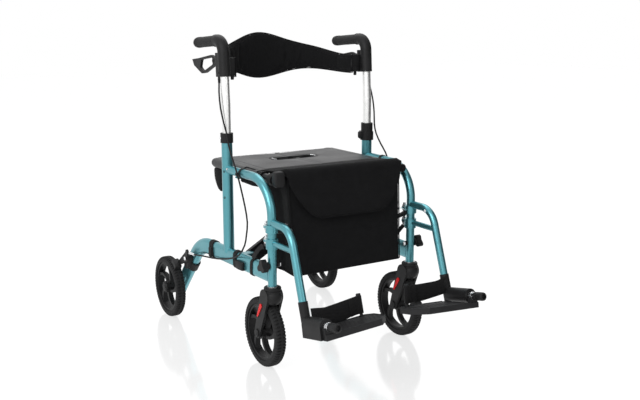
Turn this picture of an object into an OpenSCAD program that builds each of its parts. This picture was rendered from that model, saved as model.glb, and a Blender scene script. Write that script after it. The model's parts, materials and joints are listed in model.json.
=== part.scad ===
// Rollator transport chair: a folding walking frame with a seat, a bag, a backrest band and footrests.
// Millimetres. +Z is up, the front is towards -Y and the user's left is towards +X.
// The origin lies on the floor, under the middle of the outline.
// Every paired piece is drawn for the left side and mirrored for the right.

/* [Wheels] */
// Outer diameter of all four wheels
wheel_d = 200; // [190:2:206]
// Width of the tyres and hubs
tyre_w = 30; // [26:1:34]
// Diameter of the rim under the tyre
rim_d = 164; // [150:2:172]
// Depth of the rim's outer ring
rim_ring = 8; // [5:1:12]
// Width of the rim's ring
rim_w = 24; // [18:1:26]
// Diameter of the hubs
hub_d = 38; // [32:1:46]
// Number of curved spokes in a rim
spoke_count = 5; // [3:1:7]
// Thickness of a spoke
spoke_t = 9; // [6:1:14]
// Radius of a spoke's curve
spoke_r = 46; // [42:1:60]
// Diameter of the rear axles
rear_axle_d = 12; // [8:1:14]
// Gap between the rear leg and the rear tyre
wheel_gap = 6; // [4:1:12]

/* [Castors] */
// Distance from the leg's axis back to the castor axle
trail = 47; // [38:1:52]
// Thickness of a fork arm
fork_arm_t = 7; // [5:1:10]
// Gap between the tyre and a fork arm
fork_gap = 3; // [2:1:6]
// Diameter of the castor axle
castor_axle_d = 10; // [8:1:12]
// Diameter of the fork's crown
crown_d = 44; // [38:1:50]
// Height of the fork's crown
crown_h = 40; // [34:1:44]
// Thickness of the washer over the crown
washer_t = 2.4; // [1.6:0.2:4]
// Length of the king pin inside the leg
king_pin_len = 44; // [30:2:46]

/* [Side frame] */
// Distance of the front legs' axes from the middle
leg_x = 238; // [228:1:250]
// Place of the front legs' axes along the chair
leg_y = -182; // [-190:1:-174]
// Diameter of the front hoop's tube
leg_d = 25; // [22:1:28]
// Height of the front leg's lower end
leg_bottom = 246; // [240:1:252]
// Height of the hoop's level part
hoop_z = 537; // [525:1:550]
// Bend radius of the hoop
hoop_r = 100; // [80:5:110]
// Angle by which the side frames open towards the rear
flare = 2.2; // [1.4:0.1:3]
// Height of the oval side rail's section
rail_h = 50; // [44:1:54]
// Thickness of the oval side rail's section
rail_t = 25; // [22:1:28]
// Height of the side rail's middle
rail_z = 278; // [270:1:284]
// Distance from the front leg to the corner of the rail's bend
rail_corner = 425; // [415:1:435]
// Radius of the rail's bend
rail_bend_r = 130; // [110:5:150]
// Slope of the rear leg below level
rear_drop = 49; // [46:1:52]
// Length of the rear leg from the corner of the bend
rear_len = 262; // [258:1:268]
// Setback of the rear axle behind the rear leg's middle line
axle_set = 17; // [10:1:18]
// Distance from the front leg to the upright
upright_pos = 245; // [235:1:255]
// Diameter of the uprights
upright_d = 32; // [30:1:35]
// Height of the uprights' tops
upright_top = 640; // [620:1:660]
// Wall of the frame's tubes
tube_wall = 2; // [1.5:0.1:2.6]
// Height of the collar on an upright
collar_h = 28; // [20:1:36]
// Wall of the collar
collar_wall = 2.5; // [2:0.5:4]
// Height of the latch clamp under the left collar
latch_h = 26; // [18:1:32]

/* [Handles] */
// Diameter of the handle tubes
handle_d = 25.4; // [24:0.2:26.4]
// Height of the grips' middle, at the elbow
handle_z = 907; // [896:1:916]
// Lean of the handles' upper parts, grips back
handle_lean = 3.5; // [2:0.5:6]
// Height at which the handle tubes lean back
lean_z = 720; // [716:1:728]
// Bend radius of that lean
lean_r = 200; // [150:10:260]
// Depth of the handle tube's foot inside the upright, from the upright's top
handle_depth = 240; // [200:5:250]
// Bend radius of the handle tube
elbow_r = 35; // [32:1:40]
// Length from the upright's axis back to the grip's end
grip_reach = 182; // [176:1:192]
// Diameter of the grips
grip_d = 31; // [29:1:34]
// Diameter of the elbow housing
housing_d = 35; // [33:1:37]
// Length of the housing below the grip's middle
housing_drop = 103; // [98:1:108]
// Depth of the housing's body behind the tube
housing_back = 27; // [24:1:32]

/* [Brakes] */
// Thickness of the brake lever
lever_t = 8; // [7:1:10]
// Setback of the lever's pivot behind the handle tube
lever_pivot_back = 59; // [58:1:63]
// Drop of the lever's pivot below the grip's middle
lever_pivot_drop = 60; // [56:1:64]
// Gap between the brake shoe and the tyre
shoe_gap = 3.4; // [2.8:0.2:5]
// Distance of the brake's pivot in front of the axle
brake_ahead = 125; // [120:1:130]
// Height of the brake's pivot over the axle
brake_over = 122; // [118:1:126]
// Length of the brake shoe
shoe_len = 34; // [28:1:40]
// Width of the brake shoe
shoe_w = 22; // [16:1:26]
// Thickness of the brake arm
brake_arm_t = 6; // [4:1:8]
// Width of the brake's band on the rear leg
band_w = 32; // [24:1:40]
// Wall of the brake's band
band_wall = 4; // [3:0.5:6]
// Distance along the rear leg from the corner of the bend to the band
band_pos = 82; // [78:1:90]
// Diameter of the brake cables
cable_d = 5; // [4:0.5:5]

/* [Brace and seat] */
// Distance of the brace's pivots and of the seat rails from the middle
pivot_x = 210; // [204:1:212]
// Height of the brace's lower pivots
pivot_z = 290; // [284:1:294]
// Middle of the brace along the chair
brace_y = -15; // [-20:1:-10]
// Height of a brace bar
bar_h = 25; // [20:1:28]
// Thickness of each outer bar
outer_bar_t = 12; // [10:1:14]
// Thickness of the inner bar
inner_bar_t = 26; // [22:1:28]
// Diameter of the brace's pins
brace_pin_d = 12; // [10:1:14]
// Height of the seat rails
seat_rail_z = 533; // [526:1:538]
// Diameter of the seat rails
seat_rail_d = 25; // [22:1:26]
// Front end of the seat rails
seat_rail_front = -175; // [-178:1:-168]
// Rear end of the seat rails
seat_rail_rear = 222; // [216:1:230]
// Front edge of the seat
seat_front = -63; // [-66:1:-58]
// Rear edge of the seat
seat_rear = 214; // [206:1:218]
// Thickness of the seat panel
seat_t = 12; // [9:1:14]
// Gap between the seat's halves
seat_gap = 25; // [25:1:34]
// Wall of the seat's sleeve round its rail
sleeve_wall = 1.4; // [1.2:0.1:1.6]
// Length of the hand slot
slot_len = 148; // [130:2:164]
// Width of the hand slot
slot_w = 42; // [36:1:48]
// Middle of the hand slot along the chair
slot_y = 102; // [94:1:112]

/* [Footrests] */
// Diameter of the hanger tubes
hanger_d = 22; // [20:1:24]
// Diameter of the hanger's brace tube
hanger_brace_d = 16; // [14:1:18]
// Height of the hanger's level part
hanger_z = 423; // [418:1:428]
// Drop of the hanger's upper ring below its level part
upper_ring_drop = 16; // [13:1:18]
// Drop of the hanger's lower ring below its level part
lower_ring_drop = 55; // [50:1:60]
// Distance from the leg to the corner of the hanger's bend
hanger_corner = 99; // [94:1:106]
// Bend radius of the hanger
hanger_bend_r = 60; // [50:2:64]
// Lean of the hanger's lower part from upright
hanger_lean = 19; // [16:1:22]
// Height of the footrest's hinge at the foot block
foot_z = 190; // [182:1:196]
// Tilt of the footplates, toes up
foot_tilt = 12; // [8:1:15]
// Diameter of the hinge barrel
barrel_d = 40; // [36:1:42]
// Length of the hinge barrel in front of the hanger
barrel_len = 98; // [90:1:104]
// Diameter of the hinge pin
foot_pin_d = 14; // [10:1:16]
// Distance from the hanger to the hinge pin's inner end
pin_start = 40; // [34:1:50]
// Length of the hinge pin's end cap
cap_len = 38.6; // [34:0.2:46]
// Diameter of the hinge pin's end cap
cap_d = 23; // [20:1:26]
// Distance of the plates' inner ends from the middle
plate_inner = 44; // [38:1:56]
// Rise of the footplates towards their inner ends
plate_roll = 3.5; // [2:0.5:5]
// Thickness of the footplates
plate_t = 15; // [12:1:18]
// Drop of the plates' tops below the hinge
plate_drop = 18; // [16:1:19]
// Length of the footplates along the hinge
plate_len = 106; // [100:1:112]
// Height of the heel strap's post over its plate
post_h = 62; // [54:1:66]
// Distance of the heel strap's post from the middle
post_x = 78; // [72:1:90]
// Width of the heel straps
strap_w = 50; // [44:1:54]
// Height of the hand knobs' studs
knob_z = 304; // [298:1:308]

/* [Soft parts] */
// Width of the bag
bag_w = 376; // [350:2:384]
// Front of the bag at its foot
bag_front = -205; // [-210:1:-198]
// Back of the bag
bag_back = -66; // [-72:1:-64]
// Height of the bag's floor
bag_floor = 269; // [262:1:276]
// Height of the bag's top
bag_top = 540; // [536:1:544]
// Radius of the backrest band's curve, to its outer face
back_r = 210; // [206:1:212]
// Thickness of the backrest band
back_t = 12; // [9:1:15]
// Swell of the backrest's padded faces
back_swell = 3; // [0:0.5:5]
// Height of the backrest's upper edge over the grips' middle
back_over = 18; // [12:1:22]
// Depth of the backrest's lower edge below the grips' middle
back_under = 127; // [120:1:134]
// Drop of the backrest's upper edge from its middle to its sides
back_fall = 34; // [26:1:40]
// Further drop of the upper edge at the ends
back_end_fall = 33; // [26:1:38]
// Rise of the backrest's lower edge from its middle to its sides
back_rise = 29; // [22:1:34]
// Drop of the lower edge at the ends
back_end_dip = 9; // [4:1:12]
// Length of the backrest's straight ends
back_ends = 30; // [24:1:36]

/* [Hidden] */
$fn = 64;
RIGHT = -1;
LEFT = 1;
// Play of a turning or sliding fit, on the radius
run = 0.06;
// Space between pieces that pass each other
clear = 0.4;
// Over-length of a cutting solid
over = 1;
// Half width and height of the seam where a bend joins a straight
seam = 1;
seam_rise = 0.15;

TEAL = [0.36, 0.65, 0.69];
SILVER = [0.8, 0.81, 0.82];
BLACK = [0.1, 0.1, 0.11];
GREY = [0.25, 0.25, 0.26];
RED = [0.8, 0.05, 0.06];

wheel_r = wheel_d / 2;
rail_bend_start = rail_corner - rail_bend_r * tan(rear_drop / 2);
axle_s = rail_corner + (rail_z - wheel_r) / tan(rear_drop) + axle_set;
axle_y = leg_y + axle_s * cos(flare);
rear_wheel_x = leg_x + axle_s * sin(flare) + rail_t / 2 + wheel_gap + tyre_w / 2;
upright_x = leg_x + upright_pos * sin(flare);
upright_y = leg_y + upright_pos * cos(flare);
castor_y = leg_y + trail;
crown_top = leg_bottom - washer_t - clear;
stem_d = leg_d - 2 * tube_wall - 2 * run;
bar_angle = atan2(seat_rail_z - pivot_z, 2 * pivot_x);
seat_top = seat_rail_z + seat_rail_d / 2 + clear + sleeve_wall;
hanger_tangent = hanger_bend_r * tan((90 - hanger_lean) / 2);
foot_y = leg_y - hanger_corner - (hanger_z - foot_z) * tan(hanger_lean);
ring_wall = 4.5;
ring_h = 22;
upper_ring_z = hanger_z - upper_ring_drop;
lower_ring_z = hanger_z - lower_ring_drop;
lever_y = upright_y + lever_pivot_back;
lever_z = handle_z - lever_pivot_drop;
lean_tangent = lean_r * tan(handle_lean / 2);
housing_bottom = handle_z - housing_drop;
brake_y = axle_y - brake_ahead;
brake_z = wheel_r + brake_over;
shoe_angle = 124;

// Height at a part of the way from the upright's top to the cable's upper end
function cable_z(part) = upright_top + part * (housing_bottom - 1 - upright_top);

// Route of the left brake cable from the housing down to the brake arm
CABLE_ROUTE = [
    lean_point([257, upright_y + 15.2, housing_bottom - 1]), [264, 73, cable_z(0.741)], [267, 59, cable_z(0.463)],
    [264, 47, cable_z(0.216)], [259, 38, 640], [259, 28, 612],
    [261, 6, 582], [263, -18, 556], [263, -34, 530], [263, -48, 506], [263, -74, 452], [262, -85, 408],
    [262, -78, 370], [262, -66, 338], [263, -33, 303], [264, 12, 283], [266, 72, 267], [269, 136, 256],
    [272, 202, 248], [277, 254, 241], [283.2, 273.6, 242.8]
];

// Placing

module on_side(side) {
    if (side == LEFT) children();
    else mirror([1, 0, 0]) children();
}

// Flared plane of the left side frame: local Y runs back along the rail from the front leg
module in_side_frame() {
    translate([leg_x, leg_y, 0]) rotate([0, 0, -flare]) children();
}

// Frame of the left footrest: local Y runs back along the hinge, local Z stands on the plate
module in_foot() {
    translate([leg_x, foot_y, foot_z]) rotate([-foot_tilt, 0, 0]) children();
}

// Stand a flat outline, drawn in Y and Z, in the plane at x and thicken it along +X
module plate_yz(x, t) {
    translate([x, 0, 0]) rotate([90, 0, 90]) linear_extrude(t) children();
}

module along_y(y, len, d) {
    translate([0, y, 0]) rotate([-90, 0, 0]) cylinder(h = len, d = d);
}

module along_x(x, len, d) {
    translate([x, 0, 0]) rotate([0, 90, 0]) cylinder(h = len, d = d);
}

module rod(p, q, d) {
    v = q - p;
    translate(p) rotate([0, acos(v.z / norm(v)), atan2(v.y, v.x)]) cylinder(h = norm(v), d = d);
}

// Arc of round tube in the YZ plane, from angle a over a sweep; angle 180 is the top and 270 the front
module bend_yz(r, d, a, sweep) {
    rotate([0, 90, 0]) rotate([0, 0, a]) rotate_extrude(angle = sweep) translate([r, 0]) circle(d = d);
}

function arc(c, r, a, sweep, steps) =
    [for (i = [0 : steps]) c + r * [cos(a + sweep * i / steps), sin(a + sweep * i / steps)]];

// Two round ends joined by their outer tangents
module link_2d(p, r1, q, r2) {
    v = q - p;
    heading = atan2(v.y, v.x);
    lean = acos((r1 - r2) / norm(v));
    polygon(concat(arc(p, r1, heading + lean, 360 - 2 * lean, 20), arc(q, r2, heading - lean, 2 * lean, 20)));
}

function unit(v) = v / norm(v);

// Corners of an outline rounded over a length to each side of every corner
function rounded(pts, cut, steps = 6) = let (n = len(pts)) [for (i = [0 : n - 1])
    let (p = pts[i],
         a = p + cut * unit(pts[(i + n - 1) % n] - p),
         b = p + cut * unit(pts[(i + 1) % n] - p))
    for (k = [0 : steps]) let (t = k / steps) (1 - t) * (1 - t) * a + 2 * t * (1 - t) * p + t * t * b];

// Side frame

// Oval section of the side rail: thickness along X, height along Y
module oval_2d(grow = 0) {
    flat = rail_h - rail_t;
    r = rail_t / 2 + grow;
    translate([-r, -flat / 2]) square([2 * r, flat]);
    for (s = [-1, 1]) translate([0, s * flat / 2]) circle(r);
}

// Straight length of oval tube along local Y
module oval_run(y, len, grow) {
    translate([0, y, 0]) rotate([-90, 0, 0]) linear_extrude(len) oval_2d(grow);
}

// Line of the rear leg: local Y runs down it from the corner of the rail's bend
module in_rear_leg() {
    translate([0, rail_corner, rail_z]) rotate([-rear_drop, 0, 0]) children();
}

// Rail along its middle line, its rear leg cut to a length from the corner; a thin seam joins bend and straights
module rail_sweep(grow, leg_len) {
    tangent = rail_corner - rail_bend_start;
    translate([0, 0, rail_z]) {
        oval_run(leg_d / 5, rail_bend_start - leg_d / 5, grow);
        oval_run(rail_bend_start - seam, 2 * seam, grow + seam_rise);
    }
    translate([0, rail_bend_start, rail_z - rail_bend_r])
        rotate([0, 90, 0]) rotate([0, 0, 180 - rear_drop]) rotate_extrude(angle = rear_drop)
            translate([rail_bend_r, 0]) rotate(90) oval_2d(grow);
    in_rear_leg() {
        oval_run(tangent, leg_len - tangent, grow);
        oval_run(tangent - seam, 2 * seam, grow + seam_rise);
    }
}

// Brace pivot lugs, each [start, width] along the chair: one between the right side's bars, two round the left's
function lug_spans(side) = side == RIGHT
    ? [[brace_y - inner_bar_t / 2, inner_bar_t]]
    : [for (s = [-1, 1]) [brace_y + s * (inner_bar_t / 2 + clear + outer_bar_t / 2) - outer_bar_t / 2, outer_bar_t]];

module brace_lugs(side) {
    rail_x = leg_x + (brace_y - leg_y) * sin(flare);
    lug_h = bar_h - 3;
    for (span = lug_spans(side)) translate([0, span[0], pivot_z]) {
        translate([pivot_x, 0, -lug_h / 2]) cube([rail_x - pivot_x, span[1], lug_h]);
        translate([pivot_x, 0, 0]) along_y(0, span[1], lug_h);
    }
}

module side_rail(side) {
    solid_foot = 48;
    color(TEAL) on_side(side) difference() {
        union() {
            in_side_frame() rail_sweep(0, rear_len);
            brace_lugs(side);
        }
        in_side_frame() rail_sweep(-tube_wall, rear_len - solid_foot);
        in_side_frame() cylinder(h = hoop_z, d = leg_d);
        translate([0, axle_y, wheel_r]) along_x(leg_x, rear_wheel_x - leg_x, rear_axle_d);
        translate([pivot_x, 0, pivot_z]) along_y(brace_y - 2 * inner_bar_t, 4 * inner_bar_t, brace_pin_d + 2 * run);
    }
}

module hoop_sweep(d) {
    translate([0, 0, leg_bottom]) cylinder(h = hoop_z - hoop_r - leg_bottom, d = d);
    translate([0, hoop_r, hoop_z - hoop_r]) bend_yz(hoop_r, d, 180, 90);
    translate([0, 0, hoop_z]) along_y(hoop_r, upright_pos - hoop_r, d);
}

// Shelf on the hoop that the seat rail comes down on
module seat_saddle() {
    len = 22;
    t = 4;
    y = brace_y + brace_half + 5 * clear;
    hoop_face = leg_x + (y - leg_y) * sin(flare) - leg_d / 2;
    shelf_top = seat_rail_z - seat_rail_d / 2 - 2 * clear - sleeve_wall;
    translate([pivot_x - seat_rail_d / 4, y, shelf_top - t]) cube([hoop_face + t - pivot_x + seat_rail_d / 4, len, t]);
    translate([hoop_face - t / 2, y, shelf_top - t]) cube([t, len, hoop_z - shelf_top + t]);
}

module front_hoop(side) {
    stop_h = 6;
    color(TEAL) on_side(side) difference() {
        union() {
            in_side_frame() hoop_sweep(leg_d);
            seat_saddle();
            translate([leg_x, leg_y, lower_ring_z - ring_h / 2 - clear - stop_h])
                cylinder(h = stop_h, d = leg_d + 2 * ring_wall);
        }
        in_side_frame() translate([0, 0, leg_bottom - over]) cylinder(h = 2 * over, d = leg_d - 2 * tube_wall);
        in_side_frame() hoop_sweep(leg_d - 2 * tube_wall);
        translate([upright_x, upright_y, rail_z]) cylinder(h = upright_top, d = upright_d);
        translate([0, leg_y, knob_z]) along_x(leg_x - leg_d, 2 * leg_d, knob_stud_d + 2 * clear);
    }
}

module upright(side) {
    base = rail_z + rail_h / 2 - 14;
    color(TEAL) on_side(side) difference() {
        translate([upright_x, upright_y, base]) cylinder(h = upright_top - base, d = upright_d);
        in_side_frame() rail_sweep(0, rear_len);
        translate([upright_x, upright_y, base - over])
            cylinder(h = upright_top - base + 2 * over, d = handle_d + 2 * clear);
    }
}

module upright_collar(side) {
    lid = 3;
    color(BLACK) on_side(side) translate([upright_x, upright_y, upright_top + lid - collar_h]) difference() {
        cylinder(h = collar_h, d = upright_d + 2 * collar_wall);
        translate([0, 0, -over]) cylinder(h = collar_h - lid + over, d = upright_d);
        cylinder(h = collar_h + over, d = handle_d + 2 * run);
    }
}

// Band clamp with a rear lug, on the left upright only
module latch_clamp() {
    wall = 5;
    lug_len = 16;
    lug_w = 14;
    top = upright_top + 3 - collar_h;
    color(BLACK) translate([upright_x, upright_y, top - latch_h]) difference() {
        union() {
            cylinder(h = latch_h, d = upright_d + 2 * wall);
            translate([-lug_w / 2, 0, 0]) cube([lug_w, upright_d / 2 + lug_len, latch_h]);
        }
        translate([0, 0, -over]) cylinder(h = latch_h + 2 * over, d = upright_d);
    }
}

// Handles and brake levers

// Lean of the left handle's upper part, back about the bend in its tube
module leaned() {
    translate([0, upright_y, lean_z]) rotate([-handle_lean, 0, 0]) translate([0, -upright_y, -lean_z]) children();
}

function lean_point(p) = let (y = p.y - upright_y, z = p.z - lean_z)
    [p.x, upright_y + y * cos(handle_lean) + z * sin(handle_lean), lean_z - y * sin(handle_lean) + z * cos(handle_lean)];

// Upper part of the handle before its lean
module handle_top(d, bottom, end_y) {
    translate([upright_x, upright_y, bottom]) cylinder(h = handle_z - elbow_r - bottom, d = d);
    translate([upright_x, upright_y + elbow_r, handle_z - elbow_r]) bend_yz(elbow_r, d, 180, 90);
    translate([upright_x, 0, handle_z]) along_y(upright_y + elbow_r, end_y - upright_y - elbow_r, d);
}

// Whole handle along its middle line; a thin seam joins the lean's bend and the straights
module handle_sweep(d, bottom, end_y) {
    low = lean_z - lean_tangent;
    high = lean_z + lean_tangent;
    translate([upright_x, upright_y, bottom]) cylinder(h = low - bottom, d = d);
    translate([upright_x, upright_y, low - seam]) cylinder(h = 2 * seam, d = d + 2 * seam_rise);
    translate([upright_x, upright_y + lean_r, low]) bend_yz(lean_r, d, 270 - handle_lean, handle_lean);
    leaned() {
        handle_top(d, high, end_y);
        translate([upright_x, upright_y, high - seam]) cylinder(h = 2 * seam, d = d + 2 * seam_rise);
    }
}

grip_start = upright_y + elbow_r + 10;
grip_end = upright_y + grip_reach;
tube_end = grip_end - grip_d / 2;

module handle_tube(side) {
    color(SILVER) on_side(side) difference() {
        handle_sweep(handle_d, upright_top - handle_depth, tube_end);
        handle_sweep(handle_d - 2 * tube_wall, upright_top - handle_depth - over, tube_end + over);
    }
}

lever_pin_d = 7;
cheek_t = 5;
housing_back_w = 26;

module handle_housing(side) {
    bottom = housing_bottom;
    top = handle_z - elbow_r;
    back_d = housing_back_w;
    cheek_x = lever_t / 2 + clear;
    cheek_y = upright_y + housing_back + (lever_z - lean_z) * tan(handle_lean);
    color(BLACK) on_side(side) {
        difference() {
            union() {
                leaned() {
                    handle_top(housing_d, bottom, grip_start);
                    translate([upright_x - back_d / 2, upright_y, bottom]) cube([back_d, housing_back, top - bottom]);
                    translate([upright_x, upright_y + housing_back, bottom]) cylinder(h = top - bottom, d = back_d);
                }
                for (s = [-1, 1]) plate_yz(upright_x + s * (cheek_x + cheek_t / 2) - cheek_t / 2, cheek_t)
                    link_2d([cheek_y, lever_z], 12, [lever_y, lever_z], 8);
                translate([upright_x, lever_y, lever_z])
                    along_x(-cheek_x - cheek_t, 2 * (cheek_x + cheek_t), lever_pin_d);
            }
            leaned() handle_top(handle_d, bottom - over, grip_start + over);
        }
    }
}

module grip(side) {
    r = grip_d / 2;
    dome = [for (a = [0:10:80]) [r * cos(a), tube_end + r * sin(a)]];
    color(GREY) on_side(side) leaned() translate([upright_x, 0, handle_z]) rotate([-90, 0, 0]) rotate_extrude()
        polygon(concat([[handle_d / 2, tube_end], [handle_d / 2, grip_start], [r, grip_start]], dome,
            [[0, tube_end + r * sin(80)], [0, tube_end]]));
}

// Loop lever, drawn from its pivot: Y runs back and Z up
LEVER_RIM = [[-9, -5], [-9, 5], [-3, 9], [25, 16], [110, 4], [159, -1], [146, -19], [93, -41], [67, -38], [4, -14]];
LEVER_HOLE = [[18, 9], [94, 0], [103, -22.5], [80, -34], [15, -11]];

module brake_lever(side) {
    color(BLACK) on_side(side) difference() {
        plate_yz(upright_x - lever_t / 2, lever_t) translate([lever_y, lever_z]) difference() {
            polygon(rounded(LEVER_RIM, 2.9));
            polygon(rounded(LEVER_HOLE, 6));
        }
        translate([upright_x, lever_y, lever_z]) along_x(-lever_t, 2 * lever_t, lever_pin_d + 2 * run);
    }
}

// Cable as one tube along a smooth line through its route

function curve_point(a, b, c, d, t) =
    0.5 * (2 * b + (c - a) * t + (2 * a - 5 * b + 4 * c - d) * t * t + (3 * b - a - 3 * c + d) * t * t * t);

function smooth_route(pts, steps) = let (n = len(pts)) concat(
    [for (i = [0 : n - 2], k = [0 : steps - 1])
        curve_point(pts[max(i - 1, 0)], pts[i], pts[i + 1], pts[min(i + 2, n - 1)], k / steps)],
    [pts[n - 1]]);

// Closed skin over a row of rings that have as many points each
module loft(rings) {
    n = len(rings);
    sides = len(rings[0]);
    last = (n - 1) * sides;
    walls = [for (i = [0 : n - 2], k = [0 : sides - 1])
        let (a = i * sides + k, b = i * sides + (k + 1) % sides) each [[a, a + sides, b], [b, a + sides, b + sides]]];
    caps = [for (k = [1 : sides - 2]) each [[0, k, k + 1], [last, last + k + 1, last + k]]];
    polyhedron([for (r = rings) each r], concat(walls, caps));
}

module swept_cord(pts, d, sides) {
    n = len(pts);
    loft([for (i = [0 : n - 1])
        let (along = unit(pts[min(i + 1, n - 1)] - pts[max(i - 1, 0)]),
             across = unit(cross(along, [1, 0, 0.2])),
             third = cross(along, across))
        [for (k = [0 : sides - 1]) pts[i] + d / 2 * (cos(360 * k / sides) * across + sin(360 * k / sides) * third)]]);
}

module brake_cable(side) {
    color(BLACK) on_side(side) swept_cord(smooth_route(CABLE_ROUTE, 2), cable_d, 8);
}

brake_pin_d = 8;
brake_arm_x = rear_wheel_x - tyre_w / 2 + 4;

module brake_mount(side) {
    lug_x = leg_x + (brake_y - leg_y) * tan(flare) + rail_t / 2 - 1;
    lug_end = brake_arm_x - clear;
    color(BLACK) on_side(side) difference() {
        union() {
            in_side_frame() in_rear_leg() oval_run(band_pos, band_w, band_wall);
            plate_yz(lug_x, lug_end - lug_x)
                link_2d([brake_y, brake_z], 11, [brake_y + 15, brake_z - 24], 14);
            translate([0, brake_y, brake_z]) along_x(lug_x, lug_end - lug_x + clear + brake_arm_t + 3, brake_pin_d);
        }
        in_side_frame() rail_sweep(0, rear_len);
    }
}

module brake_arm(side) {
    shoe_t = 12;
    shoe_in = wheel_r + shoe_gap;
    shoe_at = [axle_y, wheel_r] + (shoe_in + shoe_t / 2) * [cos(shoe_angle), sin(shoe_angle)];
    color(BLACK) on_side(side) difference() {
        union() {
            plate_yz(brake_arm_x, brake_arm_t) {
                link_2d([brake_y, brake_z], 11, shoe_at, shoe_t / 2);
                link_2d([brake_y, brake_z], 11, [brake_y - 5, brake_z + 24], 6);
                link_2d([brake_y - 8, brake_z + 21], 6, shoe_at, shoe_t / 2);
            }
            plate_yz(brake_arm_x, shoe_w) intersection() {
                translate([axle_y, wheel_r]) difference() {
                    circle(shoe_in + shoe_t);
                    circle(shoe_in);
                }
                translate(shoe_at) rotate(shoe_angle - 90) square([shoe_len, 3 * shoe_t], center = true);
            }
        }
        translate([0, brake_y, brake_z])
            along_x(brake_arm_x - over, brake_arm_t + 2 * over, brake_pin_d + 2 * run);
    }
}

// Wheels

// Curved spoke: the part of a ring that runs from the hub to the rim
module spoke_2d() {
    inner = hub_d / 2 - 2;
    outer = rim_d / 2 - rim_ring + 2;
    intersection() {
        difference() {
            circle(outer);
            circle(inner);
        }
        translate([spoke_r, 0]) difference() {
            circle(spoke_r + spoke_t / 2);
            circle(spoke_r - spoke_t / 2);
        }
        translate([-rim_d, 0]) square(2 * rim_d);
    }
}

// Rim with its axle along X
module rim(bore_d) {
    rotate([0, 90, 0]) difference() {
        union() {
            rotate_extrude() translate([rim_d / 2 - rim_ring, -rim_w / 2]) square([rim_ring, rim_w]);
            cylinder(h = tyre_w, d = hub_d, center = true);
            linear_extrude(rim_w - 8, center = true)
                for (i = [0 : spoke_count - 1]) rotate(360 * i / spoke_count) spoke_2d();
        }
        cylinder(h = 2 * tyre_w, d = bore_d + 2 * run, center = true);
    }
}

// Tyre with a round crown and a flat tread
module tyre() {
    tread_w = tyre_w - 10;
    shoulder = 5;
    rotate([0, 90, 0]) rotate_extrude() {
        translate([rim_d / 2, -tyre_w / 2]) square([wheel_r - shoulder - rim_d / 2, tyre_w]);
        translate([rim_d / 2, -tread_w / 2]) square([wheel_r - rim_d / 2, tread_w]);
        for (s = [-1, 1]) translate([wheel_r - shoulder, s * tread_w / 2]) circle(shoulder);
    }
}

module rear_rim(side) {
    color(BLACK) on_side(side) translate([rear_wheel_x, axle_y, wheel_r]) rim(rear_axle_d);
}

module rear_tyre(side) {
    color(GREY) on_side(side) translate([rear_wheel_x, axle_y, wheel_r]) tyre();
}

module rear_axle(side) {
    head_t = 5;
    hub_in = rear_wheel_x - tyre_w / 2 - clear;
    hub_out = rear_wheel_x + tyre_w / 2 + clear;
    // The rail's faces stand askew to the axle by the flare, so the heads stay this far off its middle
    off = rail_t / 2 + 0.6;
    rail_mid = leg_x + axle_s * sin(flare);
    color(SILVER) on_side(side) translate([0, axle_y, wheel_r]) {
        along_x(rail_mid - off - head_t, hub_out + 2 * head_t + off - rail_mid, rear_axle_d);
        along_x(hub_out, head_t, 2 * rear_axle_d);
        along_x(rail_mid + off, hub_in - rail_mid - off, 1.7 * rear_axle_d);
        along_x(rail_mid - off - head_t, head_t, 1.7 * rear_axle_d);
    }
}

module castor_rim(side) {
    color(BLACK) on_side(side) translate([leg_x, castor_y, wheel_r]) rim(castor_axle_d);
}

module castor_tyre(side) {
    color(GREY) on_side(side) translate([leg_x, castor_y, wheel_r]) tyre();
}

fork_half = tyre_w / 2 + fork_gap;

module castor_fork(side) {
    foot_r = 15;
    crown_z = crown_top - crown_h;
    color(BLACK) on_side(side) difference() {
        union() {
            translate([leg_x, leg_y, crown_z]) cylinder(h = crown_h, d = crown_d);
            translate([leg_x, leg_y - 4, crown_z + crown_h * 0.3]) sphere(d = crown_d + 6);
            for (s = [-1, 1]) plate_yz(leg_x + s * (fork_half + fork_arm_t / 2) - fork_arm_t / 2, fork_arm_t)
                link_2d([leg_y + 6, crown_z + 12], 22, [castor_y, wheel_r], foot_r);
        }
        translate([leg_x, castor_y, wheel_r]) along_x(-fork_half, 2 * fork_half, 2 * (wheel_r + fork_gap));
        translate([leg_x, castor_y, wheel_r]) along_x(-crown_d, 2 * crown_d, castor_axle_d);
        translate([leg_x, leg_y, crown_top - crown_h + 8]) cylinder(h = crown_h, d = stem_d);
        translate([0, leg_y - crown_d, crown_top]) cube([2 * leg_x, 2 * crown_d, crown_d]);
    }
}

module castor_pins(side) {
    head_t = 3;
    color(SILVER) on_side(side) {
        translate([leg_x, leg_y, crown_top - crown_h + 8])
            cylinder(h = crown_h - 8 + washer_t + clear + king_pin_len, d = stem_d);
        translate([leg_x, leg_y, crown_top]) cylinder(h = washer_t, d = leg_d + 6);
        translate([leg_x, castor_y, wheel_r]) {
            along_x(-fork_half - fork_arm_t, 2 * (fork_half + fork_arm_t), castor_axle_d);
            for (s = [-1, 1]) translate([s * (fork_half + fork_arm_t + head_t / 2), 0, 0])
                along_x(-head_t / 2, head_t, 1.7 * castor_axle_d);
        }
    }
}

module reflectors(side) {
    t = 2;
    color(RED) on_side(side) for (s = [-1, 1])
        plate_yz(leg_x + s * (fork_half + fork_arm_t + t / 2) - t / 2, t)
            link_2d([leg_y + 22, crown_top - crown_h - 17], 6, [leg_y + 41, crown_top - crown_h - 51], 3);
}

// Hand knob through the front leg

knob_stud_d = 8;

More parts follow.
